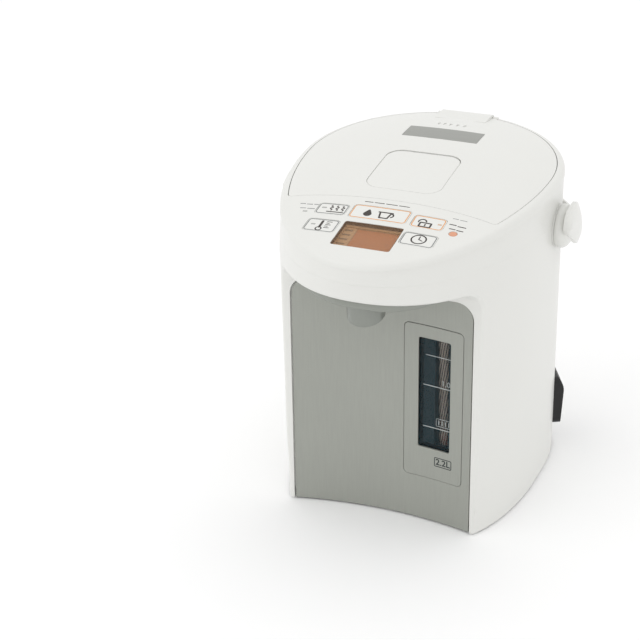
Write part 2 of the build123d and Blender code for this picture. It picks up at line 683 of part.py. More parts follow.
with BuildPart() as pump_housing:
    with BuildSketch(Plane.XY.offset(39.0)):
        with Locations((PUMP_X, PUMP_Y)):
            Circle(20.0)
    extrude(amount=14.55)
    with BuildSketch(Plane.XY.offset(41.0)):
        with Locations((PUMP_X, PUMP_Y)):
            Circle(17.0)
    extrude(amount=14.0, mode=Mode.SUBTRACT)
    # outlet neck towards the gauge tube
    with BuildSketch(Plane.XZ.offset(-(PUMP_Y - 18.0))):
        with Locations((PUMP_X, 47.0)):
            Circle(5.6)
    extrude(amount=9.0)
    with BuildSketch(Plane.XZ.offset(-(PUMP_Y - 14.0))):
        with Locations((PUMP_X, 47.0)):
            Circle(4.0)
    extrude(amount=16.0, mode=Mode.SUBTRACT)
    # pocket for the drive magnet under the pump
    with BuildSketch(Plane.XY.offset(29.0)):
        with Locations((PUMP_X, PUMP_Y)):
            Circle(20.0)
            Circle(18.0, mode=Mode.SUBTRACT)
    extrude(amount=10.0)
pump_housing.part.label = "pump_housing"

with BuildPart() as pump_impeller:
    with BuildSketch(Plane.XY.offset(41.6)):
        with Locations((PUMP_X, PUMP_Y)):
            Circle(14.0)
    extrude(amount=4.0)
    with BuildSketch(Plane.XY.offset(45.6)):
        with Locations((PUMP_X, PUMP_Y)):
            with PolarLocations(8.6, 6):
                Rectangle(9.0, 1.4)
    extrude(amount=6.2)
    with BuildSketch(Plane.XY.offset(45.6)):
        with Locations((PUMP_X, PUMP_Y)):
            Circle(4.6)
    extrude(amount=3.4)
pump_impeller.part.label = "pump_impeller"

with BuildPart() as drive_magnet:
    with BuildSketch(Plane.XY.offset(31.8)):
        with Locations((PUMP_X, PUMP_Y)):
            Circle(15.5)
    extrude(amount=6.4)
    with BuildSketch(Plane.XY.offset(28.0)):
        with Locations((PUMP_X, PUMP_Y)):
            Circle(1.5)
    extrude(amount=4.0)
drive_magnet.part.label = "drive_magnet"

with BuildPart() as pump_motor:
    with BuildSketch(Plane.XY.offset(9.0)):
        with Locations((PUMP_X, PUMP_Y)):
            Circle(14.0)
    extrude(amount=17.5)
    with BuildSketch(Plane.XY.offset(26.5)):
        with Locations((PUMP_X, PUMP_Y)):
            Circle(20.0)
    extrude(amount=2.45)
    with BuildSketch(Plane.XY.offset(24.0)):
        with Locations((PUMP_X, PUMP_Y)):
            Circle(1.6)
    extrude(amount=10.0, mode=Mode.SUBTRACT)
    # two legs down to the base plate
    with BuildSketch(Plane.XY.offset(4.8)):
        with Locations((PUMP_X - 17.2, PUMP_Y), (PUMP_X + 17.2, PUMP_Y)):
            Circle(2.4)
    extrude(amount=21.8)
pump_motor.part.label = "pump_motor"

with BuildPart() as riser_elbow:
    start = Plane(origin=(PUMP_X, PUMP_Y - 27.05, 47.0), x_dir=(1, 0, 0), z_dir=(0, -1, 0))
    with BuildLine():
        FilletPolyline((PUMP_X, PUMP_Y - 27.05, 47.0), (PUMP_X, TUBE_Y + 11.0, 47.0), (TUBE_X, TUBE_Y, 47.0),
                       (TUBE_X, TUBE_Y, 59.95), radius=5.0)
    with BuildSketch(start):
        Circle(6.0)
        Circle(4.2, mode=Mode.SUBTRACT)
    sweep()
riser_elbow.part.label = "riser_elbow"

# ---------------------------------------------------------------- tip-over valve and crossover pipe
with BuildPart() as tipover_valve:
    with BuildSketch(Plane.XY.offset(202.05)):
        with Locations((TUBE_X, TUBE_Y)):
            Circle(9.2)
    extrude(amount=24.0)
    with BuildSketch(Plane.XY.offset(206.0)):
        with Locations((TUBE_X, TUBE_Y)):
            Circle(7.5)
    extrude(amount=16.5, mode=Mode.SUBTRACT)
    with BuildSketch(Plane.XY.offset(195.0)):
        with Locations((TUBE_X, TUBE_Y)):
            Circle(4.3)
    extrude(amount=20.0, mode=Mode.SUBTRACT)
    with BuildSketch(Plane.XY.offset(215.0)):
        with Locations((TUBE_X, TUBE_Y)):
            Circle(3.6)
    extrude(amount=20.0, mode=Mode.SUBTRACT)
tipover_valve.part.label = "tipover_valve"

with BuildPart() as valve_ball:
    with BuildSketch(Plane(origin=(TUBE_X, TUBE_Y, 209.05), x_dir=(1, 0, 0), z_dir=(0, -1, 0))):
        with BuildLine():
            CenterArc((0, 0), 5.2, -90, 180)
            Line((0, 5.2), (0, -5.2))
        make_face()
    revolve(axis=Axis((TUBE_X, TUBE_Y, 0), (0, 0, 1)))
valve_ball.part.label = "valve_ball"

with BuildPart() as crossover_pipe:
    with BuildLine():
        FilletPolyline((TUBE_X, TUBE_Y, 226.1), (TUBE_X, TUBE_Y, 233.5), (0, SPOUT_Y, 233.5), (0, SPOUT_Y, 222.05),
                       radius=6.0)
    with BuildSketch(Plane.XY.offset(226.1)):
        with Locations((TUBE_X, TUBE_Y)):
            Circle(5.0)
            Circle(3.6, mode=Mode.SUBTRACT)
    sweep()
crossover_pipe.part.label = "crossover_pipe"

# ---------------------------------------------------------------- deck electronics
DECK_N = (0.0, -0.1575, 0.98752)      # outward normal of the control deck
BOARD = Plane(origin=(0, -92.0, crown_z(0, -92.0) - 10.3), x_dir=(1, 0, 0), z_dir=DECK_N)

with BuildPart() as control_board:
    with BuildSketch(BOARD.offset(-1.6)):
        with Locations((0, 0)):
            RectangleRounded(124.0, 58.0, 3.0)
    extrude(amount=1.6)
    add(oval_solid(6.0), mode=Mode.INTERSECT)
control_board.part.label = "control_board"

with BuildPart() as tact_switches:
    with BuildSketch(BOARD.offset(0.02)):
        with Locations(*[((x0 + x1) / 2, ((y0 + y1) / 2 + 92.0) * 1.0125) for x0, x1, y0, y1 in BUTTONS.values()]):
            Rectangle(6.0, 6.0)
    extrude(amount=3.4)
    with BuildSketch(BOARD.offset(3.42)):
        with Locations(*[((x0 + x1) / 2, ((y0 + y1) / 2 + 92.0) * 1.0125) for x0, x1, y0, y1 in BUTTONS.values()]):
            Circle(1.6)
    extrude(amount=0.7)
tact_switches.part.label = "tact_switches"

with BuildPart() as lcd_module:
    with BuildSketch(BOARD.offset(0.02)):
        with Locations((-1.4, -13.42)):
            RectangleRounded(47.6, 35.6, 1.0)
    extrude(amount=7.0)
    with BuildSketch(BOARD.offset(6.2)):
        with Locations((-1.0, -13.42)):
            Rectangle(43.0, 29.6)
    extrude(amount=2.0, mode=Mode.SUBTRACT)
lcd_module.part.label = "lcd_module"

with BuildPart() as lcd_window:
    add(deck_piece(LCD_X0 + 0.15, LCD_X1 - 0.15, LCD_Y0 + 0.15, LCD_Y1 - 0.15, 1.9, 0.5, 1.7))
lcd_window.part.label = "lcd_window"

with BuildPart() as indicator_lamp:
    with BuildSketch(Plane.XY.offset(238)):
        with Locations((LAMP_X, LAMP_Y)):
            Circle(LAMP_R - 0.15)
    extrude(amount=40)
    add(above_crown(-0.1), mode=Mode.SUBTRACT)
    add(above_crown(6.0), mode=Mode.INTERSECT)
    fillet(indicator_lamp.edges().sort_by(Axis.Z)[-1], 0.8)
indicator_lamp.part.label = "indicator_lamp"

BUTTON_PARTS = {}
for name, (x0, x1, y0, y1) in BUTTONS.items():
    flange = deck_piece(x0 - 0.9, x1 + 0.9, y0 - 0.9, y1 + 0.9, 4.0, 2.9, 4.6)
    with BuildPart() as button:
        add(deck_piece(x0 + 0.3, x1 - 0.3, y0 + 0.3, y1 - 0.3, 2.9, 0.0, 4.6))
        fillet(button.faces().sort_by(Axis.Z)[-1].edges(), 0.45)
        add(flange)
    button.part.label = name
    BUTTON_PARTS[name] = button

# ---------------------------------------------------------------- lid
LEVER_X, LEVER_Y0, LEVER_Y1, LEVER_R = 30.5, -39.0, 23.3, 12.0
HINGE_CLEAR_X = [26.3, 30, 36, 44, 52, 60, 70, 80, 90]


def well_rear_y(x):
    """Rear edge of the lid pocket at station x."""
    pts = [p for p in outline(264.0, WELL_INSET, 720) if p[1] > MID_Y and p[0] >= 0]
    pts.sort()
    for (xa, ya), (xb, yb) in zip(pts, pts[1:]):
        if xa <= x <= xb:
            return ya + (yb - ya) * (x - xa) / (xb - xa)
    return MID_Y


def hinge_sweep_r(x):
    y = well_rear_y(x)
    return hypot(y - HINGE_Y, crown_z(x, y) - HINGE_Z) + 0.2


with BuildPart() as hinge_clearance:
    # swept room of the pocket edge as seen from the turning lid
    for side in (1, -1):
        with BuildSketch(Plane(origin=(0, HINGE_Y, HINGE_Z), x_dir=(1, 0, 0), z_dir=(0, 0, 1))):
            with BuildLine():
                Spline([(side * x, -hinge_sweep_r(x)) for x in HINGE_CLEAR_X])
                Polyline((side * 90, -hinge_sweep_r(90)), (side * 90, 0), (side * 26.3, 0),
                         (side * 26.3, -hinge_sweep_r(26.3)))
            make_face()
        revolve(axis=Axis((0, HINGE_Y, HINGE_Z), (1, 0, 0)))
        with BuildSketch(Plane.YZ.offset(side * 24.25 - 2.4)):
            with Locations((HINGE_Y, HINGE_Z)):
                Circle(HINGE_R + 0.5)
        extrude(amount=4.8)

with BuildPart() as lid_hollow:
    add(lid_prism(WELL_INSET + LID_GAP + 2.2, WELL_FRONT + LID_GAP + 2.3, 240.0, 290.0, 3.0))
    add(ABOVE_IN, mode=Mode.SUBTRACT)

SKIRT = lid_prism(WELL_INSET + 1.3, WELL_FRONT + 1.5, 247.0, 254.05, 3.4)

with BuildPart() as lid_outer:
    add(lid_prism(WELL_INSET + LID_GAP, WELL_FRONT + LID_GAP + 0.05, 254.0, 290.0, 4.0))
    add(ABOVE, mode=Mode.SUBTRACT)
    long_edges = lid_outer.edges().filter_by(lambda e: e.bounding_box().max.Z > 256 and e.bounding_box().size.Z < 19
                                             and e.length > 60)
    fillet(long_edges, 0.7)
    # narrower skirt, so that the turning lid clears the front of its pocket
    add(SKIRT)
    add(lid_hollow.part, mode=Mode.SUBTRACT)
    add(hinge_clearance.part, mode=Mode.SUBTRACT)
    # hinge arm with its knuckle
    with BuildSketch(Plane.YZ.offset(-21.8)):
        with BuildLine():
            Spline((103.0, crown_z(0, 103.0) - 0.1), (111.0, 271.4), (118.0, 271.6), (123.6, 270.95),
                   (126.3, 269.4), (127.6, 266.6), tangents=[(1, -0.12), (-0.05, -1)])
            Line((127.6, 266.6), (HINGE_Y + HINGE_R * 0.95, HINGE_Z - HINGE_R * 0.31))
            ThreePointArc((HINGE_Y + HINGE_R * 0.95, HINGE_Z - HINGE_R * 0.31),
                          (HINGE_Y + HINGE_R * 0.5, HINGE_Z - HINGE_R * 0.866), (HINGE_Y, HINGE_Z - HINGE_R))
            Polyline((HINGE_Y, HINGE_Z - HINGE_R), (116.0, 258.5), (103.0, 258.5), (103.0, crown_z(0, 103.0) - 0.1))
        make_face()
    extrude(amount=43.6)
    with BuildSketch(Plane.YZ.offset(-40)):
        with Locations((HINGE_Y, HINGE_Z)):
            Circle(1.55)
    extrude(amount=80, mode=Mode.SUBTRACT)
    # lever opening and the lugs of its pin
    add(deck_prism(-LEVER_X - 0.5, LEVER_X + 0.5, LEVER_Y0 - 0.5, LEVER_Y1 + 1.8, LEVER_R + 0.4, 260.0, 285.0),
        mode=Mode.SUBTRACT)
    with BuildSketch(Plane.XY.offset(264.6)):
        with Locations((30.3, 22.5), (-30.3, 22.5)):
            Rectangle(4.2, 5.0)
    extrude(amount=4.3)
    with BuildSketch(Plane.YZ.offset(-31.5)):
        with Locations((LEVER_AXIS_Y, LEVER_AXIS_Z)):
            Circle(1.25)
    extrude(amount=63, mode=Mode.SUBTRACT)
    # shallow seat of the plate behind the lever
    add(deck_piece(-32.7, 31.2, 52.3, 74.7, 0.9, -5.0, 0.45), mode=Mode.SUBTRACT)
    # steam slots
    for x in (-12.1, -7.3, -2.1, 3.9, 9.9):
        with BuildSketch(Plane.XY.offset(255)):
            with Locations((x, 86.0)):
                Rectangle(2.0, 4.6)
        extrude(amount=30, mode=Mode.SUBTRACT)
    # slot for the latch
    with BuildSketch(Plane.XZ.offset(50)):
        with Locations((0, 250.7)):
            Rectangle(24.8, 3.8)
    extrude(amount=8, mode=Mode.SUBTRACT)
lid_outer.part.label = "lid_outer"

with BuildPart() as lid_inner:
    add(lid_prism(WELL_INSET + 1.9, WELL_FRONT + 2.0, 244.5, 246.98, 3.2))
    with BuildSketch(Plane.XY.offset(237.4)):
        with Locations((VES_X, VES_Y)):
            Circle(61.0)
    extrude(amount=7.2)
    with BuildSketch(Plane.XY.offset(238.9)):
        with Locations((VES_X, VES_Y)):
            Circle(59.5)
    extrude(amount=20, mode=Mode.SUBTRACT)
    # vent tube towards the steam baffle, and the guides of the latch
    with BuildSketch(Plane.XY.offset(237.4)):
        with Locations((0, 72.0)):
            Circle(6.0)
    extrude(amount=20.5)
    with BuildSketch(Plane.XY.offset(230)):
        with Locations((0, 72.0)):
            Circle(4.2)
    extrude(amount=40, mode=Mode.SUBTRACT)
    with BuildSketch(Plane.XY.offset(246.9)):
        with Locations((-13.6, -46.0), (13.6, -46.0)):
            Rectangle(2.0, 10.0)
    extrude(amount=6.0)
    with BuildSketch(Plane.XY.offset(246.9)):
        with Locations((0, -45.0)):
            Rectangle(20.0, 6.0)
    extrude(amount=2.0)
lid_inner.part.label = "lid_inner"

with BuildPart() as lid_packing:
    with BuildSketch(VES_PLANE):
        with BuildLine():
            Polyline((61.02, 244.45), (67.0, 244.45), (67.0, 241.0), (65.6, 238.4), (61.02, 238.4), close=True)
        make_face()
    revolve(axis=Axis((VES_X, VES_Y, 0), (0, 0, 1)))
lid_packing.part.label = "lid_packing"

with BuildPart() as steam_baffle:
    with BuildSketch(Plane.XY.offset(258.0)):
        with Locations((-1.0, 80.0)):
            RectangleRounded(36.0, 30.0, 4.0)
    extrude(amount=11.0)
    with BuildSketch(Plane.XY.offset(259.5)):
        with Locations((-1.0, 80.0)):
            RectangleRounded(33.0, 27.0, 3.0)
    extrude(amount=20.0, mode=Mode.SUBTRACT)
    add(above_crown(WALL + 0.02), mode=Mode.SUBTRACT)
    with BuildSketch(Plane.XY.offset(250)):
        with Locations((0, 72.0)):
            Circle(4.2)
    extrude(amount=20, mode=Mode.SUBTRACT)
steam_baffle.part.label = "steam_baffle"

with BuildPart() as label_plate:
    add(deck_piece(-32.5, 31.0, 52.5, 74.5, 0.7, -0.05, 0.43))
label_plate.part.label = "label_plate"

with BuildPart() as lid_lever:
    add(deck_piece(-LEVER_X, LEVER_X, LEVER_Y0, LEVER_Y1, LEVER_R, 0.0, WALL))
    fillet(lid_lever.faces().sort_by(Axis.Z)[-1].edges(), 0.5)
    # knuckles under the rear edge
    for side in (1, -1):
        with BuildSketch(Plane.YZ.offset(side * 17.0 - 4.0)):
            with Locations((LEVER_AXIS_Y - 0.4, LEVER_AXIS_Z)):
                Circle(2.3)
        extrude(amount=8.0)
    with BuildSketch(Plane.YZ.offset(-40)):
        with Locations((LEVER_AXIS_Y, LEVER_AXIS_Z)):
            Circle(1.25)
    extrude(amount=80, mode=Mode.SUBTRACT)
lid_lever.part.label = "lid_lever"

with BuildPart() as lever_pin:
    with BuildSketch(Plane.YZ.offset(-31.4)):
        with Locations((LEVER_AXIS_Y, LEVER_AXIS_Z)):
            Circle(1.2)
    extrude(amount=62.8)
lever_pin.part.label = "lever_pin"

with BuildPart() as lever_spring:
    with BuildSketch(Plane.YZ.offset(-5)):
        with BuildLine():
            Polyline((14, 247.02), (2, 247.02), (-14, 263.2), (-20, 263.2), (-20, 263.6), (-13.8, 263.6),
                     (2.2, 247.42), (14, 247.42), close=True)
        make_face()
    extrude(amount=10)
lever_spring.part.label = "lever_spring"

with BuildPart() as lid_latch:
    # flat bolt with a bevelled nose
    with BuildSketch(Plane.YZ.offset(-12.0)):
        with BuildLine():
            Polyline((-53.4, 250.6), (-52.0, 249.2), (-38.2, 249.2), (-38.2, 252.2), (-53.4, 252.2), close=True)
        make_face()
    extrude(amount=24.0)
lid_latch.part.label = "lid_latch"

# ---------------------------------------------------------------- carrying handle
with BuildPart() as bail_side:
    with BuildSketch(Plane.YZ.offset(-150)):
        with BuildLine():
            Spline((9.6, 228.0), (20.0, 218.0), (38.0, 206.0), (57.0, 195.8), (78.0, 190.2), (98.0, BAIL_Z0),
                   tangents=[(0.35, -1), (1, 0)])
            Polyline((98.0, BAIL_Z0), (160.0, BAIL_Z0), (160.0, BAIL_Z1), (98.0, BAIL_Z1))
            Spline((98.0, BAIL_Z1), (78.0, 213.0), (63.0, 220.5), (49.0, 234.0), (37.0, 241.3), (24.0, 242.3),
                   (12.8, 237.5), (9.6, 228.0), tangents=[(-1, 0), (0.35, -1)])
        make_face()
    extrude(amount=300)

with BuildPart() as bail_inside:
    add(oval_solid(-(BAIL_OFF - BAIL_T)))
    with BuildSketch(Plane.XY):
        with BuildLine():
            Polyline((128, 74), (110, 50), (-110, 50), (-128, 74), (-200, 74), (-200, 220), (200, 220), (200, 74),
                     close=True)
        make_face()
    extrude(amount=300, mode=Mode.INTERSECT)
    add(oval_solid(-9.0))

with BuildPart() as handle:
    add(oval_solid(-BAIL_OFF))
    add(bail_side.part, mode=Mode.INTERSECT)
    add(bail_inside.part, mode=Mode.SUBTRACT)
    fillet(handle.edges(), 1.5)
    # round bosses around the pivots
    for side in (1, -1):
        with BuildSketch(Plane(origin=(side * 108.3, PIVOT_Y, PIVOT_Z), x_dir=(0, 1, 0), z_dir=(side, 0, 0))):
            Circle(17.5)
        extrude(amount=10.5)
    bores = [(side, 108.3) for side in (1, -1)]
    for side, x in bores:
        with BuildSketch(Plane(origin=(side * 100.0, PIVOT_Y, PIVOT_Z), x_dir=(0, 1, 0), z_dir=(side, 0, 0))):
            Circle(PIVOT_R + 0.08)
        extrude(amount=15.2, mode=Mode.SUBTRACT)
handle.part.label = "handle"

with BuildPart() as handle_pivots:
    for side in (1, -1):
        with BuildSketch(Plane(origin=(side * 102.4, PIVOT_Y, PIVOT_Z), x_dir=(0, 1, 0), z_dir=(side, 0, 0))):
            Circle(PIVOT_R)
        extrude(amount=12.0)
        with BuildSketch(Plane(origin=(side * 98.8, PIVOT_Y, PIVOT_Z), x_dir=(0, 1, 0), z_dir=(side, 0, 0))):
            Circle(9.0)
        extrude(amount=3.7)
handle_pivots.part.label = "handle_pivots"

# ---------------------------------------------------------------- base
FEET = [(72.0, -57.0), (-72.0, -57.0), (61.0, 84.0), (-61.0, 84.0)]
BOARD_X, BOARD_Y = -26.0, 56.0
BASE_Z0, BASE_Z1 = 2.15, 4.75

with BuildPart() as base_plate:
    add(oval_solid(3.5))
    with BuildSketch(Plane.XY.offset(BASE_Z0)):
        Rectangle(400, 400)
    extrude(amount=BASE_Z1 - BASE_Z0, mode=Mode.INTERSECT)
    add(front_cutter(3.3, 3.0), mode=Mode.SUBTRACT)
    add(hollow_slice(-30.0, 2.6, -20.0, 30.0), mode=Mode.SUBTRACT)
    # clearance holes of the screws
    with BuildSketch(Plane.XY.offset(0)):
        with Locations(*BOSSES):
            Circle(1.7)
    extrude(amount=10, mode=Mode.SUBTRACT)
    # standoffs under the power board
    with BuildSketch(Plane.XY.offset(BASE_Z1 - 0.5)):
        with Locations((BOARD_X, BOARD_Y)):
            with GridLocations(70.0, 48.0, 2, 2):
                Circle(3.2)
    extrude(amount=9.7)
    with BuildSketch(Plane.XY.offset(BASE_Z1)):
        with Locations((BOARD_X, BOARD_Y)):
            with GridLocations(70.0, 48.0, 2, 2):
                Circle(1.3)
    extrude(amount=12.0)
    # cooling slots
    with BuildSketch(Plane.XY.offset(0)):
        with Locations((-20.0, -20.0)):
            with GridLocations(7.0, 0.0, 7, 1):
                SlotOverall(34.0, 3.0, rotation=90)
    extrude(amount=10, mode=Mode.SUBTRACT)
    # shallow blank rating plate field on the underside
    with BuildSketch(Plane.XY.offset(BASE_Z0)):
        with Locations((0.0, 44.0)):
            RectangleRounded(62.0, 34.0, 2.0)
    extrude(amount=0.5, mode=Mode.SUBTRACT)
base_plate.part.label = "base_plate"

with BuildPart() as rubber_feet:
    with BuildSketch(Plane.XY):
        with Locations(*FEET):
            Circle(9.0)
    extrude(amount=BASE_Z0 - 0.02)
    fillet(rubber_feet.faces().group_by(Axis.Z)[0].edges(), 0.6)
rubber_feet.part.label = "rubber_feet"

with BuildPart() as base_screws:
    with BuildSketch(Plane.XY.offset(0.7)):
        with Locations(*BOSSES):
            Circle(2.5)
    extrude(amount=BASE_Z0 - 0.72)
    fillet(base_screws.faces().group_by(Axis.Z)[0].edges(), 0.4)
    with BuildSketch(Plane.XY.offset(1.5)):
        with Locations(*BOSSES):
            Circle(1.25)
    extrude(amount=13.0)
    with BuildSketch(Plane.XY.offset(0.0)):
        with Locations(*BOSSES):
            Rectangle(3.4, 0.7)
            Rectangle(0.7, 3.4)
    extrude(amount=1.5, mode=Mode.SUBTRACT)
base_screws.part.label = "base_screws"

with BuildPart() as power_board:
    with BuildSketch(Plane.XY.offset(13.98)):
        with Locations((BOARD_X, BOARD_Y)):
            RectangleRounded(80.0, 58.0, 2.0)
            with GridLocations(70.0, 48.0, 2, 2):
                Circle(1.45, mode=Mode.SUBTRACT)
    extrude(amount=1.6)
    # transformer, relay, capacitor, heat sink and plug row
    with BuildSketch(Plane.XY.offset(15.5)):
        with Locations((BOARD_X - 20.0, BOARD_Y + 8.0)):
            RectangleRounded(26.0, 22.0, 1.0)
    extrude(amount=20.0)
    with BuildSketch(Plane.XY.offset(15.5)):
        with Locations((BOARD_X + 10.0, BOARD_Y + 10.0)):
            Rectangle(18.0, 15.0)
    extrude(amount=15.0)
    with BuildSketch(Plane.XY.offset(15.5)):
        with Locations((BOARD_X + 28.0, BOARD_Y - 2.0)):
            Circle(6.3)
    extrude(amount=18.0)
    with BuildSketch(Plane.XY.offset(15.5)):
        with Locations((BOARD_X - 8.0, BOARD_Y - 14.0)):
            Rectangle(30.0, 2.0)
            with GridLocations(5.8, 0.0, 6, 1):
                Rectangle(1.2, 10.0)
    extrude(amount=16.0)
    with BuildSketch(Plane.XY.offset(15.5)):
        with Locations((BOARD_X + 24.0, BOARD_Y - 22.0)):
            Rectangle(16.0, 6.0)
    extrude(amount=8.0)
power_board.part.label = "power_board"

# ---------------------------------------------------------------- mains inlet
with BuildPart() as inlet_hood:
    with BuildSketch(INLET_PLANE.offset(-8.0)):
        RectangleRounded(INLET_W, INLET_H, 5.0)
    extrude(amount=14.0)
    with BuildSketch(Plane(origin=(95.6 - 14.22, 82.0 + 26.4, INLET_Z), x_dir=(0.880, 0.474, 0),
                           z_dir=(0.474, -0.880, 0))):
        with BuildLine():
            Polyline((-20, 22), (-20, -22), (0.6, -22), (2.6, 8))
            ThreePointArc((2.6, 8), (1.7, 16.5), (-1.5, 22))
            Line((-1.5, 22), (-20, 22))
        make_face()
    extrude(amount=60, mode=Mode.INTERSECT)
    add(oval_solid(STEP - 0.05), mode=Mode.SUBTRACT)
    with BuildSketch(INLET_PLANE.offset(-15.0)):
        RectangleRounded(INLET_W - 3.4, INLET_H - 3.4, 3.9)
    extrude(amount=15.2)
    # socket for the cord connector
    with BuildSketch(INLET_PLANE.offset(-10.0)):
        with Locations((0, -2.0)):
            RectangleRounded(24.0, 18.0, 3.0)
    extrude(amount=30.0, mode=Mode.SUBTRACT)
    with BuildSketch(INLET_PLANE.offset(-20.0)):
        with Locations((-5.0, -2.0), (5.0, -2.0)):
            Circle(1.55)
    extrude(amount=30.0, mode=Mode.SUBTRACT)
inlet_hood.part.label = "inlet_hood"

with BuildPart() as inlet_pins:
    with BuildSketch(INLET_PLANE.offset(-18.0)):
        with Locations((-5.0, -2.0), (5.0, -2.0)):
            Circle(1.5)
    extrude(amount=15.0)
    fillet(inlet_pins.faces().filter_by(lambda f: f.center().X > 93.5 - 3).edges(), 0.5)
inlet_pins.part.label = "inlet_pins"

with BuildPart() as inlet_magnet_plate:
    with BuildSketch(INLET_PLANE.offset(-9.97)):
        with Locations((0, -2.0)):
            RectangleRounded(22.6, 16.6, 2.4)
        with Locations((-5.0, -2.0), (5.0, -2.0)):
            Circle(3.0, mode=Mode.SUBTRACT)
    extrude(amount=1.4)
inlet_magnet_plate.part.label = "inlet_magnet_plate"

# ---------------------------------------------------------------- files
export_step(outer_body.part, "parts/outer_body.step")
export_step(front_panel.part, "parts/front_panel.step")
export_step(gauge_frame.part, "parts/gauge_frame.step")
export_step(gauge_window.part, "parts/gauge_window.step")
export_step(gauge_backing.part, "parts/gauge_backing.step")
export_step(gauge_tube.part, "parts/gauge_tube.step")
export_step(gauge_float.part, "parts/gauge_float.step")
export_step(beak_underside.part, "parts/beak_underside.step")
export_step(nozzle_cover.part, "parts/nozzle_cover.step")
export_step(spout_pipe.part, "parts/spout_pipe.step")
export_step(shoulder_ring.part, "parts/shoulder_ring.step")
export_step(deck_frame.part, "parts/deck_frame.step")
export_step(lid_well.part, "parts/lid_well.step")
export_step(hinge_bracket.part, "parts/hinge_bracket.step")
export_step(hinge_pin.part, "parts/hinge_pin.step")
export_step(vessel_inner.part, "parts/vessel_inner.step")
export_step(vessel_outer.part, "parts/vessel_outer.step")
export_step(vessel_gasket.part, "parts/vessel_gasket.step")
export_step(heater_plate.part, "parts/heater_plate.step")
export_step(heater_clamp.part, "parts/heater_clamp.step")
export_step(thermistor.part, "parts/thermistor.step")
export_step(thermostat.part, "parts/thermostat.step")
export_step(suction_sleeve.part, "parts/suction_sleeve.step")
export_step(pump_cover.part, "parts/pump_cover.step")
export_step(pump_housing.part, "parts/pump_housing.step")
export_step(pump_impeller.part, "parts/pump_impeller.step")
export_step(drive_magnet.part, "parts/drive_magnet.step")
export_step(pump_motor.part, "parts/pump_motor.step")
export_step(riser_elbow.part, "parts/riser_elbow.step")
export_step(tipover_valve.part, "parts/tipover_valve.step")
export_step(valve_ball.part, "parts/valve_ball.step")
export_step(crossover_pipe.part, "parts/crossover_pipe.step")
export_step(control_board.part, "parts/control_board.step")
export_step(tact_switches.part, "parts/tact_switches.step")
export_step(lcd_module.part, "parts/lcd_module.step")
export_step(lcd_window.part, "parts/lcd_window.step")
export_step(indicator_lamp.part, "parts/indicator_lamp.step")
export_step(lid_outer.part, "parts/lid_outer.step")
export_step(lid_inner.part, "parts/lid_inner.step")
export_step(lid_packing.part, "parts/lid_packing.step")
export_step(steam_baffle.part, "parts/steam_baffle.step")
export_step(label_plate.part, "parts/label_plate.step")
export_step(lid_lever.part, "parts/lid_lever.step")
export_step(lever_pin.part, "parts/lever_pin.step")
export_step(lever_spring.part, "parts/lever_spring.step")
export_step(lid_latch.part, "parts/lid_latch.step")
export_step(handle.part, "parts/handle.step")
export_step(handle_pivots.part, "parts/handle_pivots.step")
export_step(base_plate.part, "parts/base_plate.step")
export_step(rubber_feet.part, "parts/rubber_feet.step")
export_step(base_screws.part, "parts/base_screws.step")
export_step(power_board.part, "parts/power_board.step")
export_step(inlet_hood.part, "parts/inlet_hood.step")
export_step(inlet_pins.part, "parts/inlet_pins.step")
export_step(inlet_magnet_plate.part, "parts/inlet_magnet_plate.step")
export_step(BUTTON_PARTS["dispense_button"].part, "parts/dispense_button.step")
export_step(BUTTON_PARTS["unlock_button"].part, "parts/unlock_button.step")
export_step(BUTTON_PARTS["keepwarm_button"].part, "parts/keepwarm_button.step")
export_step(BUTTON_PARTS["boil_button"].part, "parts/boil_button.step")
export_step(BUTTON_PARTS["timer_button"].part, "parts/timer_button.step")
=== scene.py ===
import bpy
import bmesh
import json
from math import pi, sin, cos, sqrt, hypot, tanh, radians, atan2
from mathutils import Vector, Matrix


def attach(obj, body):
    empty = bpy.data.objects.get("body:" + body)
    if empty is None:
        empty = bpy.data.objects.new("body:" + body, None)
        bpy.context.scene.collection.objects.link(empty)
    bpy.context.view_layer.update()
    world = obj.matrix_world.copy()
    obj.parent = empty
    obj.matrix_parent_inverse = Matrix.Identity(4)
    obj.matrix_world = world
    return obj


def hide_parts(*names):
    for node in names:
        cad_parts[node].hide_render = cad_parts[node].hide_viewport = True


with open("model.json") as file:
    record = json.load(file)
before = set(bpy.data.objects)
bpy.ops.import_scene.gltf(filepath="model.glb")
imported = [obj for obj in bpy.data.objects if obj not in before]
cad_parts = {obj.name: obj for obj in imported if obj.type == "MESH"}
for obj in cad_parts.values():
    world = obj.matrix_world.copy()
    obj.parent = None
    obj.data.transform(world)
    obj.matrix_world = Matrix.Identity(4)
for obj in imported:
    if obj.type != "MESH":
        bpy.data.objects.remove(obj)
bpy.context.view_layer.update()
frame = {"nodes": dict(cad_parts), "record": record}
NODES = frame["nodes"]
SCENE = bpy.context.scene

# ------------------------------------------------------------------ shapes shared with the CAD, in mm
MID_Y = 26.0


def rim_z(y):
    return 257.65 + 0.0658 * (y - MID_Y)


def crown_z(x, y):
    zt = 271.355 + 0.073 * (y - MID_Y) - 0.000348 * (y - MID_Y) ** 2
    b = 104.0 if y > MID_Y else 171.5
    rho = ((abs(x) / 107.5) ** 2.03 + (abs(y - MID_Y) / b) ** 2.03) ** (1 / 2.03)
    if rho > 1.08:
        rho = 1.08 + 0.08 * tanh((rho - 1.08) / 0.08)
    return zt - (zt - (rim_z(y) + 3.2)) * rho ** 3.2


def crown(x, y, t):
    return (x, y, crown_z(x, y) + t)


PANEL_R = (76.5 ** 2 + 9.35 ** 2) / (2 * 9.35)


def front(x, z, t):
    """On the hollow front panel, t in front of it (t is negative behind it)."""
    y = -91.1 + 0.0406 * z + sqrt(PANEL_R ** 2 - x ** 2) - (PANEL_R - 9.35)
    return (x, y - t, z)


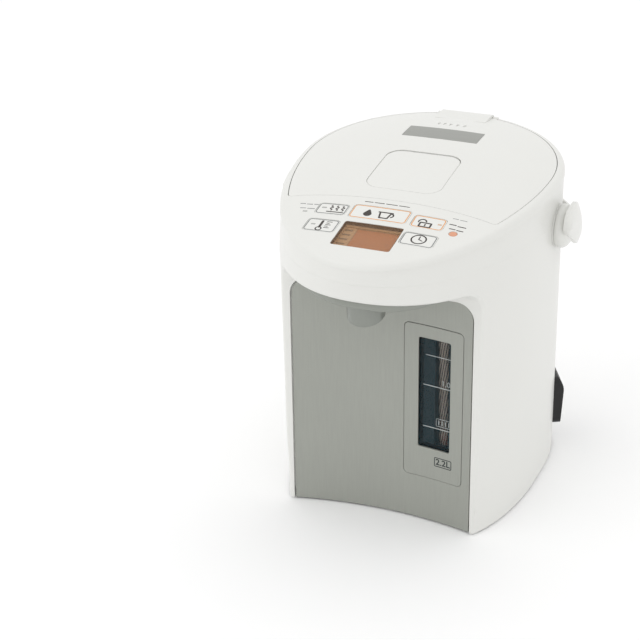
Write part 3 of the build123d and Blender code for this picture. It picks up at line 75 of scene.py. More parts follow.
LCD_Z0 = crown_z(0, -92.0) - 10.3


def lcd(u, v, t):
    """On the face of the display, u to the right and v to the rear from its middle."""
    v = v - 13.42
    return (u - 1.0, -92.0 + v * 0.98752 - 0.1575 * (6.2 + t), LCD_Z0 + v * 0.1575 + 0.98752 * (6.2 + t))


# ------------------------------------------------------------------ mesh helpers
def new_object(name, verts, faces, material, body, smooth=False):
    me = bpy.data.meshes.new(name)
    me.from_pydata([(x * 0.001, y * 0.001, z * 0.001) for x, y, z in verts], [], faces)
    me.validate()
    me.update()
    if smooth:
        for p in me.polygons:
            p.use_smooth = True
    ob = bpy.data.objects.new(name, me)
    SCENE.collection.objects.link(ob)
    me.materials.append(material)
    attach(ob, body)
    return ob


class Print:
    """Collects thin raised marks that follow a surface into one mesh."""

    def __init__(self, surface, low=-0.06, high=0.05):
        self.surface, self.low, self.high = surface, low, high
        self.v, self.f = [], []

    def prism(self, loop):
        """Closed polygon, counter-clockwise seen from outside."""
        n, k = len(self.v), len(loop)
        self.v += [self.surface(a, b, self.high) for a, b in loop]
        self.v += [self.surface(a, b, self.low) for a, b in loop]
        self.f.append(tuple(range(n, n + k)))
        self.f.append(tuple(reversed(range(n + k, n + 2 * k))))
        for i in range(k):
            j = (i + 1) % k
            self.f.append((n + i, n + k + i, n + k + j, n + j))

    def ring(self, outer, inner):
        n, k = len(self.v), len(outer)
        for loop in (outer, inner):
            self.v += [self.surface(a, b, self.high) for a, b in loop]
        for loop in (outer, inner):
            self.v += [self.surface(a, b, self.low) for a, b in loop]
        for i in range(k):
            j = (i + 1) % k
            self.f.append((n + i, n + j, n + k + j, n + k + i))
            self.f.append((n + 2 * k + j, n + 2 * k + i, n + 3 * k + i, n + 3 * k + j))
            self.f.append((n + i, n + 2 * k + i, n + 2 * k + j, n + j))
            self.f.append((n + k + j, n + 3 * k + j, n + 3 * k + i, n + k + i))

    def bar(self, x0, y0, x1, y1, w, steps=6):
        """Straight bar with round ends."""
        dx, dy = x1 - x0, y1 - y0
        length = hypot(dx, dy)
        ux, uy = dx / length, dy / length
        loop = []
        for i in range(7):
            a = -pi / 2 + pi * i / 6
            loop.append((x1 + w / 2 * (cos(a) * ux - sin(a) * uy), y1 + w / 2 * (cos(a) * uy + sin(a) * ux)))
        for i in range(1, steps):
            t = i / steps
            loop.append((x1 - dx * t - w / 2 * uy, y1 - dy * t + w / 2 * ux))
        for i in range(7):
            a = pi / 2 + pi * i / 6
            loop.append((x0 + w / 2 * (cos(a) * ux - sin(a) * uy), y0 + w / 2 * (cos(a) * uy + sin(a) * ux)))
        for i in range(1, steps):
            t = i / steps
            loop.append((x0 + dx * t + w / 2 * uy, y0 + dy * t - w / 2 * ux))
        self.prism(loop)

    def rect(self, x0, y0, x1, y1, n=4):
        loop = [(x0 + (x1 - x0) * i / n, y0) for i in range(n)] + [(x1, y0 + (y1 - y0) * i / n) for i in range(n)]
        loop += [(x1 - (x1 - x0) * i / n, y1) for i in range(n)] + [(x0, y1 - (y1 - y0) * i / n) for i in range(n)]
        self.prism(loop)

    def frame_rect(self, x0, y0, x1, y1, r, w, m=9):
        """Rounded rectangle outline of width w."""
        self.ring(rounded(x0, y0, x1, y1, r, m), rounded(x0 + w, y0 + w, x1 - w, y1 - w, max(0.05, r - w), m))

    def circle(self, cx, cy, r, w=None, k=28):
        outer = [(cx + r * cos(2 * pi * i / k), cy + r * sin(2 * pi * i / k)) for i in range(k)]
        if w is None:
            self.prism(outer)
        else:
            self.ring(outer, [(cx + (r - w) * cos(2 * pi * i / k), cy + (r - w) * sin(2 * pi * i / k))
                              for i in range(k)])

    def arc(self, cx, cy, r, a0, a1, w, k=12):
        a = [radians(a0 + (a1 - a0) * i / k) for i in range(k + 1)]
        loop = [(cx + (r + w / 2) * cos(t), cy + (r + w / 2) * sin(t)) for t in a]
        loop += [(cx + (r - w / 2) * cos(t), cy + (r - w / 2) * sin(t)) for t in reversed(a)]
        self.prism(loop)

    def text(self, s, cx, cy, size, bold=0.0):
        """Plain digits and generic characters set from the built-in font."""
        cu = bpy.data.curves.new("digits", "FONT")
        cu.body = s
        cu.size = size
        cu.align_x = "CENTER"
        cu.align_y = "CENTER"
        cu.extrude = 0.5
        cu.offset = bold
        cu.resolution_u = 3
        ob = bpy.data.objects.new("digits", cu)
        SCENE.collection.objects.link(ob)
        bpy.context.view_layer.update()
        me = bpy.data.meshes.new_from_object(ob.evaluated_get(bpy.context.evaluated_depsgraph_get()))
        n = len(self.v)
        for p in me.vertices:
            self.v.append(self.surface(cx + p.co.x, cy + p.co.y, self.high if p.co.z > 0 else self.low))
        for p in me.polygons:
            self.f.append(tuple(n + i for i in p.vertices))
        bpy.data.objects.remove(ob)
        bpy.data.meshes.remove(me)
        bpy.data.curves.remove(cu)

    def make(self, name, material, body):
        return new_object(name, self.v, self.f, material, body)


def rounded(x0, y0, x1, y1, r, m=9, side=6):
    pts = []
    corners = [(x1 - r, y0 + r, -90), (x1 - r, y1 - r, 0), (x0 + r, y1 - r, 90), (x0 + r, y0 + r, 180)]
    for i, (cx, cy, a0) in enumerate(corners):
        for j in range(m + 1):
            a = radians(a0 + 90 * j / m)
            pts.append((cx + r * cos(a), cy + r * sin(a)))
        nx, ny, na = corners[(i + 1) % 4]
        a = radians(a0 + 90)
        ex, ey = nx + r * cos(a), ny + r * sin(a)
        sx, sy = pts[-1]
        for j in range(1, side):
            pts.append((sx + (ex - sx) * j / side, sy + (ey - sy) * j / side))
    return pts


# ------------------------------------------------------------------ materials
def srgb(r, g, b):
    def lin(c):
        c /= 255.0
        return c / 12.92 if c <= 0.04045 else ((c + 0.055) / 1.055) ** 2.4
    return (lin(r), lin(g), lin(b), 1.0)


def surface(name, color, rough, rough_span=0.06, tint=0.04, metallic=0.0, patch=18.0, grain=900.0, bump=0.06,
            stretch=(1, 1, 1), alpha=1.0, coat=0.0, ior=1.46, fine_tint=0.0, transmission=0.0, depth=0.00012):
    """Moulded or rolled surface: slow colour drift, uneven gloss and a fine grain."""
    m = bpy.data.materials.new(name)
    m.use_nodes = True
    nt = m.node_tree
    nt.nodes.clear()
    out = nt.nodes.new("ShaderNodeOutputMaterial")
    bsdf = nt.nodes.new("ShaderNodeBsdfPrincipled")
    nt.links.new(bsdf.outputs[0], out.inputs[0])
    co = nt.nodes.new("ShaderNodeTexCoord")
    mp = nt.nodes.new("ShaderNodeMapping")
    mp.inputs["Scale"].default_value = stretch
    nt.links.new(co.outputs["Object"], mp.inputs["Vector"])
    big = nt.nodes.new("ShaderNodeTexNoise")
    big.inputs["Scale"].default_value = patch
    big.inputs["Detail"].default_value = 3.0
    nt.links.new(co.outputs["Object"], big.inputs["Vector"])
    fine = nt.nodes.new("ShaderNodeTexNoise")
    fine.inputs["Scale"].default_value = grain
    fine.inputs["Detail"].default_value = 4.0
    fine.inputs["Roughness"].default_value = 0.6
    nt.links.new(mp.outputs[0], fine.inputs["Vector"])
    mix = nt.nodes.new("ShaderNodeMix")
    mix.data_type = "RGBA"
    mix.inputs[6].default_value = tuple(max(0.0, c * (1 - tint)) for c in color[:3]) + (1.0,)
    mix.inputs[7].default_value = tuple(min(1.0, c * (1 + tint)) for c in color[:3]) + (1.0,)
    nt.links.new(big.outputs["Fac"], mix.inputs[0])
    last = mix.outputs[2]
    if fine_tint:
        ramp = nt.nodes.new("ShaderNodeMapRange")
        ramp.inputs["From Min"].default_value = 0.3
        ramp.inputs["From Max"].default_value = 0.7
        ramp.inputs["To Min"].default_value = 0.0
        ramp.inputs["To Max"].default_value = 1.0
        nt.links.new(fine.outputs["Fac"], ramp.inputs["Value"])
        mix2 = nt.nodes.new("ShaderNodeMix")
        mix2.data_type = "RGBA"
        mix2.blend_type = "MULTIPLY"
        mix2.inputs[0].default_value = 1.0
        tone = nt.nodes.new("ShaderNodeMix")
        tone.data_type = "RGBA"
        tone.inputs[6].default_value = (1 - fine_tint,) * 3 + (1.0,)
        tone.inputs[7].default_value = (1.0, 1.0, 1.0, 1.0)
        nt.links.new(ramp.outputs[0], tone.inputs[0])
        nt.links.new(last, mix2.inputs[6])
        nt.links.new(tone.outputs[2], mix2.inputs[7])
        last = mix2.outputs[2]
    nt.links.new(last, bsdf.inputs["Base Color"])
    rr = nt.nodes.new("ShaderNodeMapRange")
    rr.inputs["To Min"].default_value = max(0.02, rough - rough_span)
    rr.inputs["To Max"].default_value = min(1.0, rough + rough_span)
    nt.links.new(big.outputs["Fac"], rr.inputs["Value"])
    nt.links.new(rr.outputs[0], bsdf.inputs["Roughness"])
    if bump:
        bp = nt.nodes.new("ShaderNodeBump")
        bp.inputs["Strength"].default_value = bump
        bp.inputs["Distance"].default_value = depth
        nt.links.new(fine.outputs["Fac"], bp.inputs["Height"])
        nt.links.new(bp.outputs[0], bsdf.inputs["Normal"])
    bsdf.inputs["Metallic"].default_value = metallic
    bsdf.inputs["IOR"].default_value = ior
    bsdf.inputs["Coat Weight"].default_value = coat
    bsdf.inputs["Coat Roughness"].default_value = 0.12
    bsdf.inputs["Alpha"].default_value = alpha
    bsdf.inputs["Transmission Weight"].default_value = transmission
    return m


WHITE = srgb(224, 224, 220)
MATS = {
    "white_shell": surface("white_shell", WHITE, 0.34, 0.05, 0.012, grain=1400, bump=0.05, coat=0.10),
    "button_white": surface("button_white", srgb(226, 226, 222), 0.38, 0.05, 0.012, grain=1600, bump=0.08),
    "silver_panel": surface("silver_panel", srgb(161, 163, 156), 0.42, 0.05, 0.04, metallic=0.45, patch=9,
                            grain=16, stretch=(60, 60, 0.6), bump=0.10, fine_tint=0.06, depth=0.00010),
    # grey trim darkened for the beak underside: painted shade under the lip
    "beak_grey_painted_shade": surface("beak_grey_painted_shade", srgb(142, 145, 138), 0.44, 0.06, 0.04, grain=1100, bump=0.10),
    # nozzle grey darkened towards its shaded side: partly its own grey, partly painted shade
    "nozzle_grey_and_painted_shade": surface("nozzle_grey_and_painted_shade", srgb(138, 141, 135), 0.30, 0.05, 0.04, metallic=0.35, grain=1100, bump=0.08),
    "grey_trim": surface("grey_trim", srgb(174, 177, 171), 0.42, 0.06, 0.03, grain=1100, bump=0.10),
    "gauge_glass": surface("gauge_glass", srgb(42, 62, 68), 0.06, 0.02, 0.05, grain=40, bump=0.01, alpha=0.14,
                           coat=0.3),
    "tube_glass": surface("tube_glass", srgb(150, 120, 108), 0.14, 0.03, 0.05, grain=300, bump=0.04, alpha=0.45,
                          stretch=(1, 1, 0.05)),
    "dark_backing": surface("dark_backing", srgb(38, 52, 57), 0.45, 0.08, 0.15, grain=700, bump=0.04, ior=1.2),
    "red_float": surface("red_float", srgb(205, 40, 30), 0.35, 0.06, 0.08, grain=900, bump=0.08),
    "clear_lens": surface("clear_lens", srgb(190, 170, 150), 0.08, 0.02, 0.03, grain=60, bump=0.01, alpha=0.07),
    "lcd_face": surface("lcd_face", srgb(176, 136, 96), 0.50, 0.08, 0.07, patch=60, grain=700, bump=0.015,
                        fine_tint=0.012),
    "lamp": surface("lamp", srgb(214, 150, 116), 0.22, 0.05, 0.06, grain=500, bump=0.05, coat=0.4),
    "silver_label": surface("silver_label", srgb(156, 157, 152), 0.36, 0.06, 0.06, metallic=0.35, patch=40, grain=30,
                            stretch=(0.8, 60, 60), bump=0.08, fine_tint=0.10, depth=0.00006),
    "black_plastic": surface("black_plastic", srgb(20, 20, 20), 0.42, 0.08, 0.18, grain=800, bump=0.20),
    "rubber_black": surface("rubber_black", srgb(46, 46, 46), 0.72, 0.10, 0.20, grain=600, bump=0.35),
    "silicone": surface("silicone", srgb(214, 212, 204), 0.48, 0.07, 0.05, grain=400, bump=0.12, transmission=0.15),
    "stainless": surface("stainless", srgb(196, 196, 194), 0.24, 0.06, 0.04, metallic=1.0, patch=25, grain=24,
                         stretch=(1, 1, 60), bump=0.12, fine_tint=0.10),
    "steel_small": surface("steel_small", srgb(170, 172, 172), 0.30, 0.08, 0.06, metallic=1.0, grain=900, bump=0.15),
    "brass_pins": surface("brass_pins", srgb(214, 178, 104), 0.26, 0.06, 0.06, metallic=1.0, grain=700, bump=0.10),
    "board_green": surface("board_green", srgb(36, 92, 52), 0.46, 0.10, 0.16, patch=90, grain=1300, bump=0.25,
                           fine_tint=0.2),
    "grey_inner": surface("grey_inner", srgb(196, 198, 196), 0.46, 0.07, 0.04, grain=900, bump=0.12),
    "magnet": surface("magnet", srgb(70, 70, 72), 0.50, 0.10, 0.15, metallic=0.6, grain=1200, bump=0.30),
    "aluminium_plate": surface("aluminium_plate", srgb(188, 188, 188), 0.34, 0.08, 0.05, metallic=1.0, grain=300,
                               bump=0.12),
}



def banded(m, dark, light, scale, tilt):
    """Adds fine slanted bands to the base colour."""
    nt = m.node_tree
    bsdf = next(n for n in nt.nodes if n.type == "BSDF_PRINCIPLED")
    co = next(n for n in nt.nodes if n.type == "TEX_COORD")
    mp = nt.nodes.new("ShaderNodeMapping")
    mp.inputs["Rotation"].default_value = (0.0, radians(tilt), 0.0)
    nt.links.new(co.outputs["Object"], mp.inputs["Vector"])
    wave = nt.nodes.new("ShaderNodeTexWave")
    wave.bands_direction = "X"
    wave.inputs["Scale"].default_value = scale
    wave.inputs["Distortion"].default_value = 0.4
    wave.inputs["Detail"].default_value = 1.0
    nt.links.new(mp.outputs[0], wave.inputs["Vector"])
    mix = nt.nodes.new("ShaderNodeMix")
    mix.data_type = "RGBA"
    mix.inputs[6].default_value = dark
    mix.inputs[7].default_value = light
    nt.links.new(wave.outputs["Fac"], mix.inputs[0])
    nt.links.new(mix.outputs[2], bsdf.inputs["Base Color"])


banded(MATS["tube_glass"], srgb(102, 88, 80), srgb(208, 196, 182), 170.0, -9.0)

# the beak underside and the nozzle cover take darker greys that carry painted shade
for sub in frame["record"]["subparts"]:
    node = NODES[sub["node"]]
    mat = MATS[{"beak_underside": "beak_grey_painted_shade", "nozzle_cover": "nozzle_grey_and_painted_shade"}.get(sub["node"], sub["material_slot"])]
    if not node.material_slots:
        node.data.materials.append(mat)
    for i in range(len(node.material_slots)):
        node.material_slots[i].link = "OBJECT"
        node.material_slots[i].material = mat

ink_orange = surface("ink_orange", srgb(222, 158, 98), 0.50, 0.06, 0.05, patch=120, grain=2500, bump=0.05)
ink_grey = surface("ink_grey", srgb(128, 130, 130), 0.50, 0.06, 0.05, patch=120, grain=2500, bump=0.05)
ink_dark = surface("ink_dark", srgb(56, 49, 45), 0.50, 0.06, 0.06, patch=120, grain=2500, bump=0.05)
ink_white = surface("ink_white", srgb(196, 201, 200), 0.50, 0.06, 0.03, patch=120, grain=2500, bump=0.05)
ink_lcd = surface("ink_lcd", srgb(124, 96, 66), 0.50, 0.06, 0.06, patch=120, grain=2500, bump=0.05)
ink_panel = surface("ink_panel", srgb(46, 52, 52), 0.50, 0.06, 0.06, patch=120, grain=2500, bump=0.05)
led_dark = surface("led_dark", srgb(206, 176, 150), 0.25, 0.05, 0.06, patch=120, grain=2500, bump=0.05, coat=0.3)
led_grey = surface("led_grey", srgb(172, 172, 168), 0.25, 0.05, 0.06, patch=120, grain=2500, bump=0.05, coat=0.3)
lcd_warm = surface("lcd_warm", srgb(172, 110, 66), 0.50, 0.08, 0.05, patch=60, grain=700, bump=0.015, fine_tint=0.012)
# dark brown painted shade for the top band of the display and the walls of its well
lcd_painted_shade = surface("lcd_painted_shade", srgb(104, 80, 58), 0.50, 0.08, 0.07, patch=60, grain=2600, bump=0.05)
# dark teal painted shade for the inside of the water window
gauge_shade_paint = surface("gauge_shade_paint", srgb(13, 21, 25), 0.40, 0.06, 0.10, patch=120, grain=2500, bump=0.05,
                     ior=1.2)

# ------------------------------------------------------------------ prints on the control deck
BUTTONS = {
    "dispense_button": (-25.5, 21.0, -84.0, -65.5),
    "boil_button": (-53.0, -28.0, -83.5, -68.0),
    "keepwarm_button": (-53.0, -27.0, -107.5, -90.0),
    "unlock_button": (24.0, 50.0, -84.7, -68.5),
    "timer_button": (24.0, 51.0, -108.5, -91.5),
}
INK = {"dispense_button": ink_orange, "unlock_button": ink_orange, "keepwarm_button": ink_grey,
       "boil_button": ink_grey, "timer_button": ink_grey}

for name, (x0, x1, y0, y1) in BUTTONS.items():
    outline = Print(crown)
    outline.frame_rect(x0 + 0.9, y0 + 0.9, x1 - 0.9, y1 - 0.9, 2.6, 0.78)
    outline.make("outline_" + name, INK[name], name)

# a drop falling into a cup: dispense
p = Print(crown)
cx, cy = -11.6, -76.6
drop = []
for i in range(28):
    a = -pi / 2 + 2 * pi * i / 28
    r = 3.3
    drop.append((cx + r * cos(a) * (1.0 if sin(a) < 0 else 1.0 - 0.62 * sin(a)),
                 cy + (r * sin(a) if sin(a) < 0 else 1.75 * r * sin(a))))
p.prism(drop)
for xa, ya, xb, yb in ((-2.6, -72.4, -1.2, -79.8), (-1.2, -79.8, 5.0, -79.8), (5.0, -79.8, 6.4, -72.4),
                       (-3.6, -72.4, 7.4, -72.4)):
    p.bar(xa, ya, xb, yb, 1.35)
p.arc(6.4, -75.6, 2.4, -75, 80, 1.2, 10)
p.make("icon_dispense", ink_dark, "dispense_button")

# three steam waves over a line: boil
p = Print(crown)
for k in range(3):
    x = -41.4 + 4.6 * k
    for m in range(2):
        p.arc(x, -76.7 + 3.2 * m, 0.85, -90, 90, 0.95, 8)
        p.arc(x, -75.0 + 3.2 * m, 0.85, 90, 270, 0.95, 8)
p.bar(-43.6, -79.6, -30.6, -79.6, 1.1)
p.make("icon_boil", ink_dark, "boil_button")

# thermometer with marks: keep warm
p = Print(crown)
p.circle(-40.6, -103.4, 2.7, 1.0)
p.bar(-40.6, -101.4, -40.6, -93.2, 2.0)
for k in range(5):
    p.bar(-37.0, -101.4 + 2.0 * k, -33.2 if k % 2 == 0 else -34.8, -101.4 + 2.0 * k, 0.7, 2)
p.make("icon_keepwarm", ink_dark, "keepwarm_button")

# open padlock: unlock
p = Print(crown)
p.frame_rect(30.4, -83.4, 40.4, -76.9, 1.0, 1.35)
p.arc(32.3, -76.4, 2.9, 0, 180, 1.2)
p.bar(29.4, -76.4, 29.4, -77.6, 1.0, 2)
p.bar(35.4, -79.4, 35.4, -81.2, 1.1, 2)
p.make("icon_unlock", ink_dark, "unlock_button")

# clock face: timer
p = Print(crown)
p.circle(37.6, -99.4, 6.1, 1.15)
p.bar(37.6, -99.4, 37.6, -95.6, 0.85, 2)
p.bar(37.6, -99.4, 40.6, -100.8, 0.85, 2)
p.make("icon_timer", ink_dark, "timer_button")

# small telltale windows printed in the buttons
for name, x0, y0, x1, y1 in (("boil_button", -49.4, -75.6, -45.4, -73.8), ("keepwarm_button", -48.6, -98.9, -45.0, -97.1),
                             ("unlock_button", 44.2, -77.6, 47.4, -75.8)):
    p = Print(crown)
    p.frame_rect(x0, y0, x1, y1, 0.5, 0.89)
    p.make("telltale_" + name, led_dark if name == "unlock_button" else led_grey, name)

# plain rules beside the buttons, where small print would stand
p = Print(crown)
for xa, xb, y in ((-68.4, -64.6, -71.2), (-62.8, -58.6, -71.6), (-56.8, -53.6, -71.4),
                  (-66.0, -61.8, -77.4), (-60.0, -54.4, -77.6)):
    p.bar(xa, y, xb, y, 0.8, 2)
p.make("left_rules", ink_grey, "case")
p = Print(crown)
p.frame_rect(-62.4, -82.6, -58.6, -80.8, 0.5, 0.89)
p.make("telltale_left", led_grey, "case")
p = Print(crown)
for xa, xb in ((-19.4, -13.2), (-11.4, -4.0), (-2.2, 6.4), (8.2, 16.2)):
    p.bar(xa, -60.9, xb, -60.9, 0.75, 4)
p.make("dispense_rules", ink_dark, "case")
p = Print(crown)
for xa, xb, y in ((52.4, 56.6, -65.4), (58.2, 63.4, -65.7)):
    p.bar(xa, y, xb, y, 0.5, 2)
p.make("lamp_rules_top", ink_grey, "case")
p = Print(crown)
for xa, xb, y in ((52.6, 57.4, -73.4), (59.2, 65.0, -74.2), (54.2, 58.4, -78.9), (60.0, 64.6, -79.4)):
    p.bar(xa, y, xb, y, 0.95, 2)
p.make("lamp_rules", ink_dark, "case")

# ------------------------------------------------------------------ lip of the lid lever and louvres of the steam slots
p = Print(crown, low=-1.7, high=-0.55)
p.ring(rounded(-30.86, -39.36, 30.86, 24.0, 12.4, 12, 12), rounded(-30.2, -38.7, 30.2, 23.0, 11.7, 12, 12))
p.make("lever_lip", MATS["white_shell"], "lid_lever")
p = Print(crown, low=-1.5, high=-0.45)
for x in (-12.1, -7.3, -2.1, 3.9, 9.9):
    p.rect(x - 0.8, 83.9, x + 0.8, 88.1, 3)
p.make("steam_louvres", MATS["white_shell"], "lid")

# ------------------------------------------------------------------ display field, off
p = Print(lcd, low=-0.05, high=0.03)
p.rect(-12.0, -17.0, 22.6, 14.1, 6)
p.make("lcd_field", lcd_warm, "case")
# painted shade: a dark band along the top edge of the display face, where the well shades it
p = Print(lcd, low=-0.05, high=0.02)
p.rect(-24.0, 16.2, 23.2, 17.6, 6)
p.make("lcd_top_painted_shade", lcd_painted_shade, "case")
p = Print(lcd, low=-0.05, high=0.05)
for v in (11.2, 5.2, -0.8, -6.8):
    p.bar(-20.4, v, -15.6, v, 1.9, 2)
    p.bar(-22.9, v, -22.7, v, 0.7, 2)
p.make("lcd_ticks", ink_lcd, "case")
p = Print(lcd, low=-0.05, high=0.045)
p.bar(-12.0, -16.8, -12.0, 14.1, 0.35, 6)
p.bar(-12.0, 14.1, 22.4, 14.1, 0.35, 6)
p.make("lcd_border", ink_lcd, "case")

# dark sheet lining the well of the display: painted shade on its walls
p = Print(crown, low=-3.7, high=-0.35)
p.ring(rounded(-23.9, -121.4, 22.6, -89.1, 0.9, 5, 8), rounded(-23.45, -120.95, 22.15, -89.55, 0.5, 5, 8))
p.make("lcd_well_painted_shade", lcd_painted_shade, "case")

# ------------------------------------------------------------------ water gauge
# painted shade along the left and bottom edges of the window on the inner face of the pane, and printed level marks
p = Print(front, low=-2.97, high=-2.87)
p.rect(27.6, 65.5, 32.4, 163.1, 8)
p.rect(32.4, 65.5, 57.4, 69.6, 8)
p.make("gauge_painted_shade", gauge_shade_paint, "case")
p = Print(front, low=-2.98, high=-2.86)
p.bar(34.0, 146.6, 56.6, 146.6, 0.5)
p.bar(32.0, 120.6, 56.9, 120.6, 0.6)
p.bar(32.4, 84.3, 56.9, 84.3, 0.6)
p.text("1.0", 51.3, 124.6, 6.6)
p.frame_rect(43.4, 86.4, 57.0, 93.4, 0.9, 0.45)
for k in range(4):
    p.bar(45.8 + 2.9 * k, 88.2, 45.8 + 2.9 * k, 91.6, 0.8, 2)
p.make("gauge_marks", ink_white, "case")

# capacity box under the window
p = Print(front, low=-0.19, high=-0.10)
p.frame_rect(43.2, 52.1, 58.4, 60.4, 1.2, 0.7)
p.text("2.2L", 50.8, 56.2, 7.4, 0.16)
p.make("capacity_mark", ink_panel, "case")

# ------------------------------------------------------------------ carrying handle with a crowned strap
def oval_point(th, z, out):
    """Point of the body's oval at angle th and height z, moved out along its normal."""
    t = z / 250.0
    a, br, nr = 102.8 + 4.7 * t, 98.0 + 6.0 * t, 2.45 - 0.41 * min(t, 1.06)

    def at(q):
        c, s = cos(q), sin(q)
        n, b = (nr, br) if s > 0 else (2.14, 163.0)
        return (a * (1 if c > 0 else -1) * abs(c) ** (2 / n), MID_Y + b * (1 if s > 0 else -1) * abs(s) ** (2 / n))

    x, y = at(th)
    (x1, y1), (x2, y2) = at(th - 0.01), at(th + 0.01)
    dx, dy = x2 - x1, y2 - y1
    length = hypot(dx, dy)
    return x + out * dy / length, y - out * dx / length


def through(points, v):
    """Smooth curve through points, looked up by its first coordinate."""
    if v <= points[0][0]:
        return points[0][1]
    for i in range(len(points) - 1):
        (x0, y0), (x1, y1) = points[i], points[i + 1]
        if v <= x1:
            (xa, ya), (xb, yb) = points[max(0, i - 1)], points[min(len(points) - 1, i + 2)]
            m0 = (y1 - ya) / (x1 - xa) if i else (y1 - y0) / (x1 - x0)
            m1 = (yb - y0) / (xb - x0) if i + 2 < len(points) else (y1 - y0) / (x1 - x0)
            h = x1 - x0
            t = (v - x0) / h
            return ((2 * t ** 3 - 3 * t * t + 1) * y0 + (t ** 3 - 2 * t * t + t) * h * m0
                    + (3 * t * t - 2 * t ** 3) * y1 + (t ** 3 - t * t) * h * m1)
    return points[-1][1]


LOWER = [(9.9, 228.0), (12.0, 224.4), (15.5, 221.0), (20.0, 218.0), (38.0, 206.2), (57.0, 196.0), (78.0, 190.6),
         (98.0, 189.9), (150.0, 189.9)]
UPPER = [(9.9, 228.0), (10.6, 233.0), (12.8, 237.2), (17.5, 240.8), (24.0, 241.9), (37.0, 240.9), (49.0, 233.7),
         (63.0, 220.2), (78.0, 212.8), (98.0, 211.7), (150.0, 211.7)]


def ease(v, a, b):
    t = min(1.0, max(0.0, (v - a) / (b - a)))
    return t * t * (3 - 2 * t)


TH0 = -0.1
while oval_point(TH0, 226, 12.5)[1] < 10.0:
    TH0 += 0.0005
N, M = 150, 14
outer_rows, inner_rows = [], []
for i in range(N + 1):
    th = TH0 + (pi - 2 * TH0) * (1 - cos(pi * i / N)) / 2
    ym = oval_point(th, 215, 12.5)[1]
    lo, hi = through(LOWER, ym), through(UPPER, ym)
    near = 1 - ease(ym, 55.0, 105.0)
    tip = min(1.0, max(0.0, (hi - lo) / 22.0))
    row_o, row_i = [], []
    for j in range(M + 1):
        t = (1 - cos(pi * j / M)) / 2
        z = lo + (hi - lo) * t
        w = abs(2 * t - 1)
        inner = 9.15 + 2.25 * ease(ym, 50.0, 75.0)
        edge = 13.0 - 0.9 * near
        top = inner + (15.6 - inner) * (1 - (1 - tip) ** 2.5) ** 0.5 if tip < 1 else 15.6
        out = max(inner + 0.7, min(top, 15.6 - (15.6 - edge) * w ** 2.1))
        row_o.append(oval_point(th, z, out) + (z,))
        row_i.append(oval_point(th, z, inner) + (z,))
    outer_rows.append(row_o)
    inner_rows.append(row_i)
verts, faces = [], []
for row in outer_rows + inner_rows:
    verts += row
W = M + 1
base = (N + 1) * W
for i in range(N):
    for j in range(M):
        q = i * W + j
        faces.append((q, q + W, q + W + 1, q + 1))
        faces.append((base + q, base + q + 1, base + q + W + 1, base + q + W))
    q = i * W
    faces.append((q, base + q, base + q + W, q + W))
    q = i * W + M
    faces.append((q, q + W, base + q + W, base + q))
for j in range(M):
    faces.append((j, j + 1, base + j + 1, base + j))
    q = N * W + j
    faces.append((q, base + q, base + q + 1, q + 1))
BOSS = [(6.3, 107.6), (16.8, 107.6), (17.4, 108.4), (17.4, 111.0), (16.9, 113.0), (15.4, 115.2), (12.6, 117.0),
        (8.0, 118.2), (3.0, 118.6), (0.0, 118.6), (0.0, 115.4), (6.3, 115.4)]
K = 48
for side in (1, -1):
    first = len(verts)
    for k in range(K):
        a = 2 * pi * k / K * side
        for rr, xx in BOSS:
            verts.append((side * xx, 30.0 + rr * cos(a), 222.0 + rr * sin(a)))
    L = len(BOSS)
    for k in range(K):
        for j in range(L):
            j2 = (j + 1) % L
            p0, p1 = first + k * L, first + ((k + 1) % K) * L
            if BOSS[j][0] == 0.0 and BOSS[j2][0] == 0.0:
                continue
            faces.append((p0 + j, p0 + j2, p1 + j2, p1 + j))
handle = new_object("handle_strap", verts, faces, MATS["white_shell"], "handle", smooth=True)
clean = bmesh.new()
clean.from_mesh(handle.data)
bmesh.ops.remove_doubles(clean, verts=clean.verts, dist=1e-6)
bmesh.ops.dissolve_degenerate(clean, dist=1e-7, edges=clean.edges)
bmesh.ops.recalc_face_normals(clean, faces=clean.faces)
clean.to_mesh(handle.data)
clean.free()
handle.data.set_sharp_from_angle(angle=radians(38))
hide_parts("handle")

# round pads of the body that the bosses turn on
def wall_x(y, z):
    t = z / 250.0
    a, br, nr = 102.8 + 4.7 * t, 98.0 + 6.0 * t, 2.45 - 0.41 * min(t, 1.06)
    n, b = (nr, br) if y > MID_Y else (2.14, 163.0)
    return a * (1 - (abs(y - MID_Y) / b) ** n) ** (1 / n)


for side, name in ((1, "pivot_pad_right"), (-1, "pivot_pad_left")):
    verts, faces = [], []
    for k in range(K):
        a = 2 * pi * k / K
        for rr, xx in ((6.7, 107.5), (15.9, 107.5), (16.5, 107.25), (16.6, None), (6.7, None)):
            y, z = 30.0 + rr * cos(a), 222.0 + rr * sin(a)
            verts.append((side * (wall_x(y, z) - 0.6 if xx is None else max(xx, wall_x(y, z) + 0.05)), y, z))
    for k in range(K):
        for j in range(5):
            p0, p1, j2 = k * 5, (k + 1) % K * 5, (j + 1) % 5
            loop = (p0 + j, p0 + j2, p1 + j2, p1 + j)
            faces.append(loop if side > 0 else tuple(reversed(loop)))
    pad = new_object(name, verts, faces, MATS["white_shell"], "case", smooth=True)
    pad.data.set_sharp_from_angle(angle=radians(38))

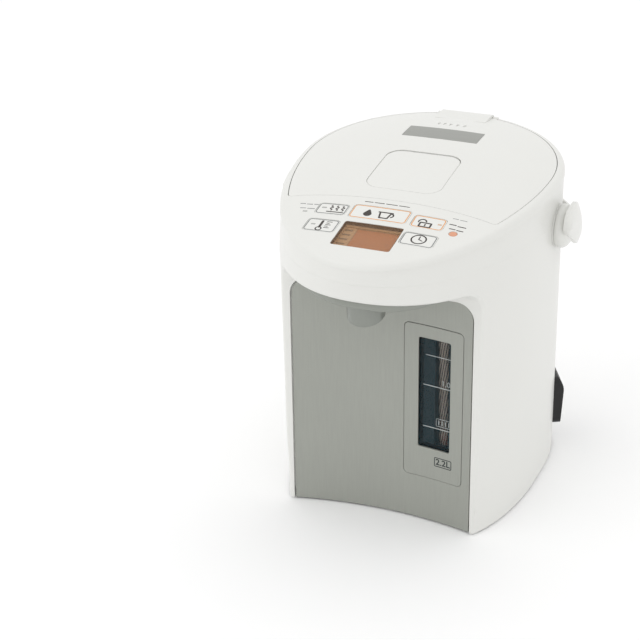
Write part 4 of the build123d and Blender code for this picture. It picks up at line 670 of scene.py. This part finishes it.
# tongue of the shoulder ring that closes its joint with the body, along the body's own upper edge
edge = []
for v in NODES["outer_body"].data.vertices:
    if abs(v.co.z - 0.2299) < 2e-5:
        x, y = v.co.x * 1000, v.co.y * 1000 - MID_Y
        edge.append((atan2(y, x), hypot(x, y), x, y))
edge.sort()
side_x, rear_y, front_y = (max(abs(p[2]) for p in edge), max(p[3] for p in edge), max(-p[3] for p in edge))
outer_edge = [p for p in edge if ((abs(p[2]) / side_x) ** 2.07
                                  + (abs(p[3]) / (rear_y if p[3] > 0 else front_y)) ** 2.07) ** (1 / 2.07) > 0.988]
loop = [p for i, p in enumerate(outer_edge) if i == 0 or p[0] - outer_edge[i - 1][0] > 1e-5]
verts, faces = [], []
for a, r, x, y in loop:
    for inset, z in ((0.05, 229.89), (0.05, 230.11), (1.3, 230.11), (1.3, 229.89)):
        verts.append((x * (1 - inset / r), MID_Y + y * (1 - inset / r), z))
for i in range(len(loop)):
    for j in range(4):
        q0, q1, j2 = i * 4, (i + 1) % len(loop) * 4, (j + 1) % 4
        faces.append((q0 + j, q1 + j, q1 + j2, q0 + j2))
new_object("shoulder_tongue", verts, faces, MATS["white_shell"], "case")

# ------------------------------------------------------------------ floor, light, camera
bpy.ops.mesh.primitive_plane_add(size=16.0, location=(0, 0, 0))
floor = bpy.context.object
floor.name = "floor"
floor.data.materials.append(surface("floor_paper", srgb(253, 253, 253), 0.85, 0.05, 0.002, patch=2, grain=500,
                                    bump=0.02))

world = bpy.data.worlds.new("studio")
SCENE.world = world
world.use_nodes = True
bg = world.node_tree.nodes["Background"]
bg.inputs["Color"].default_value = (1.0, 1.0, 1.0, 1.0)
bg.inputs["Strength"].default_value = 0.99


def area(name, loc, target, size, energy):
    li = bpy.data.lights.new(name, "AREA")
    li.energy = energy
    li.size = size
    ob = bpy.data.objects.new(name, li)
    SCENE.collection.objects.link(ob)
    ob.location = loc
    ob.rotation_euler = (Vector(target) - Vector(loc)).to_track_quat("-Z", "Y").to_euler()
    return ob


area("key", (-1.1, -1.0, 1.5), (0, 0, 0.15), 1.4, 3.6)
area("top", (0.2, 0.3, 1.9), (0, 0, 0.1), 1.6, 2.2)

cam = bpy.data.cameras.new("camera")
cam.lens = 96.018
cam.sensor_width = 36.0
cam.clip_end = 30.0
cam_ob = bpy.data.objects.new("camera", cam)
SCENE.collection.objects.link(cam_ob)
r = (0.91959072, 0.39165944, -0.03091582)
u = (-0.15264072, 0.42867997, 0.89046858)
b = (0.36201342, -0.81414763, 0.4539933)
e = (0.4309327, -1.1660163, 0.7696717)
cam_ob.matrix_world = Matrix(((r[0], u[0], b[0], e[0]), (r[1], u[1], b[1], e[1]), (r[2], u[2], b[2], e[2]),
                              (0, 0, 0, 1)))
SCENE.camera = cam_ob
SCENE.view_settings.view_transform = "Standard"
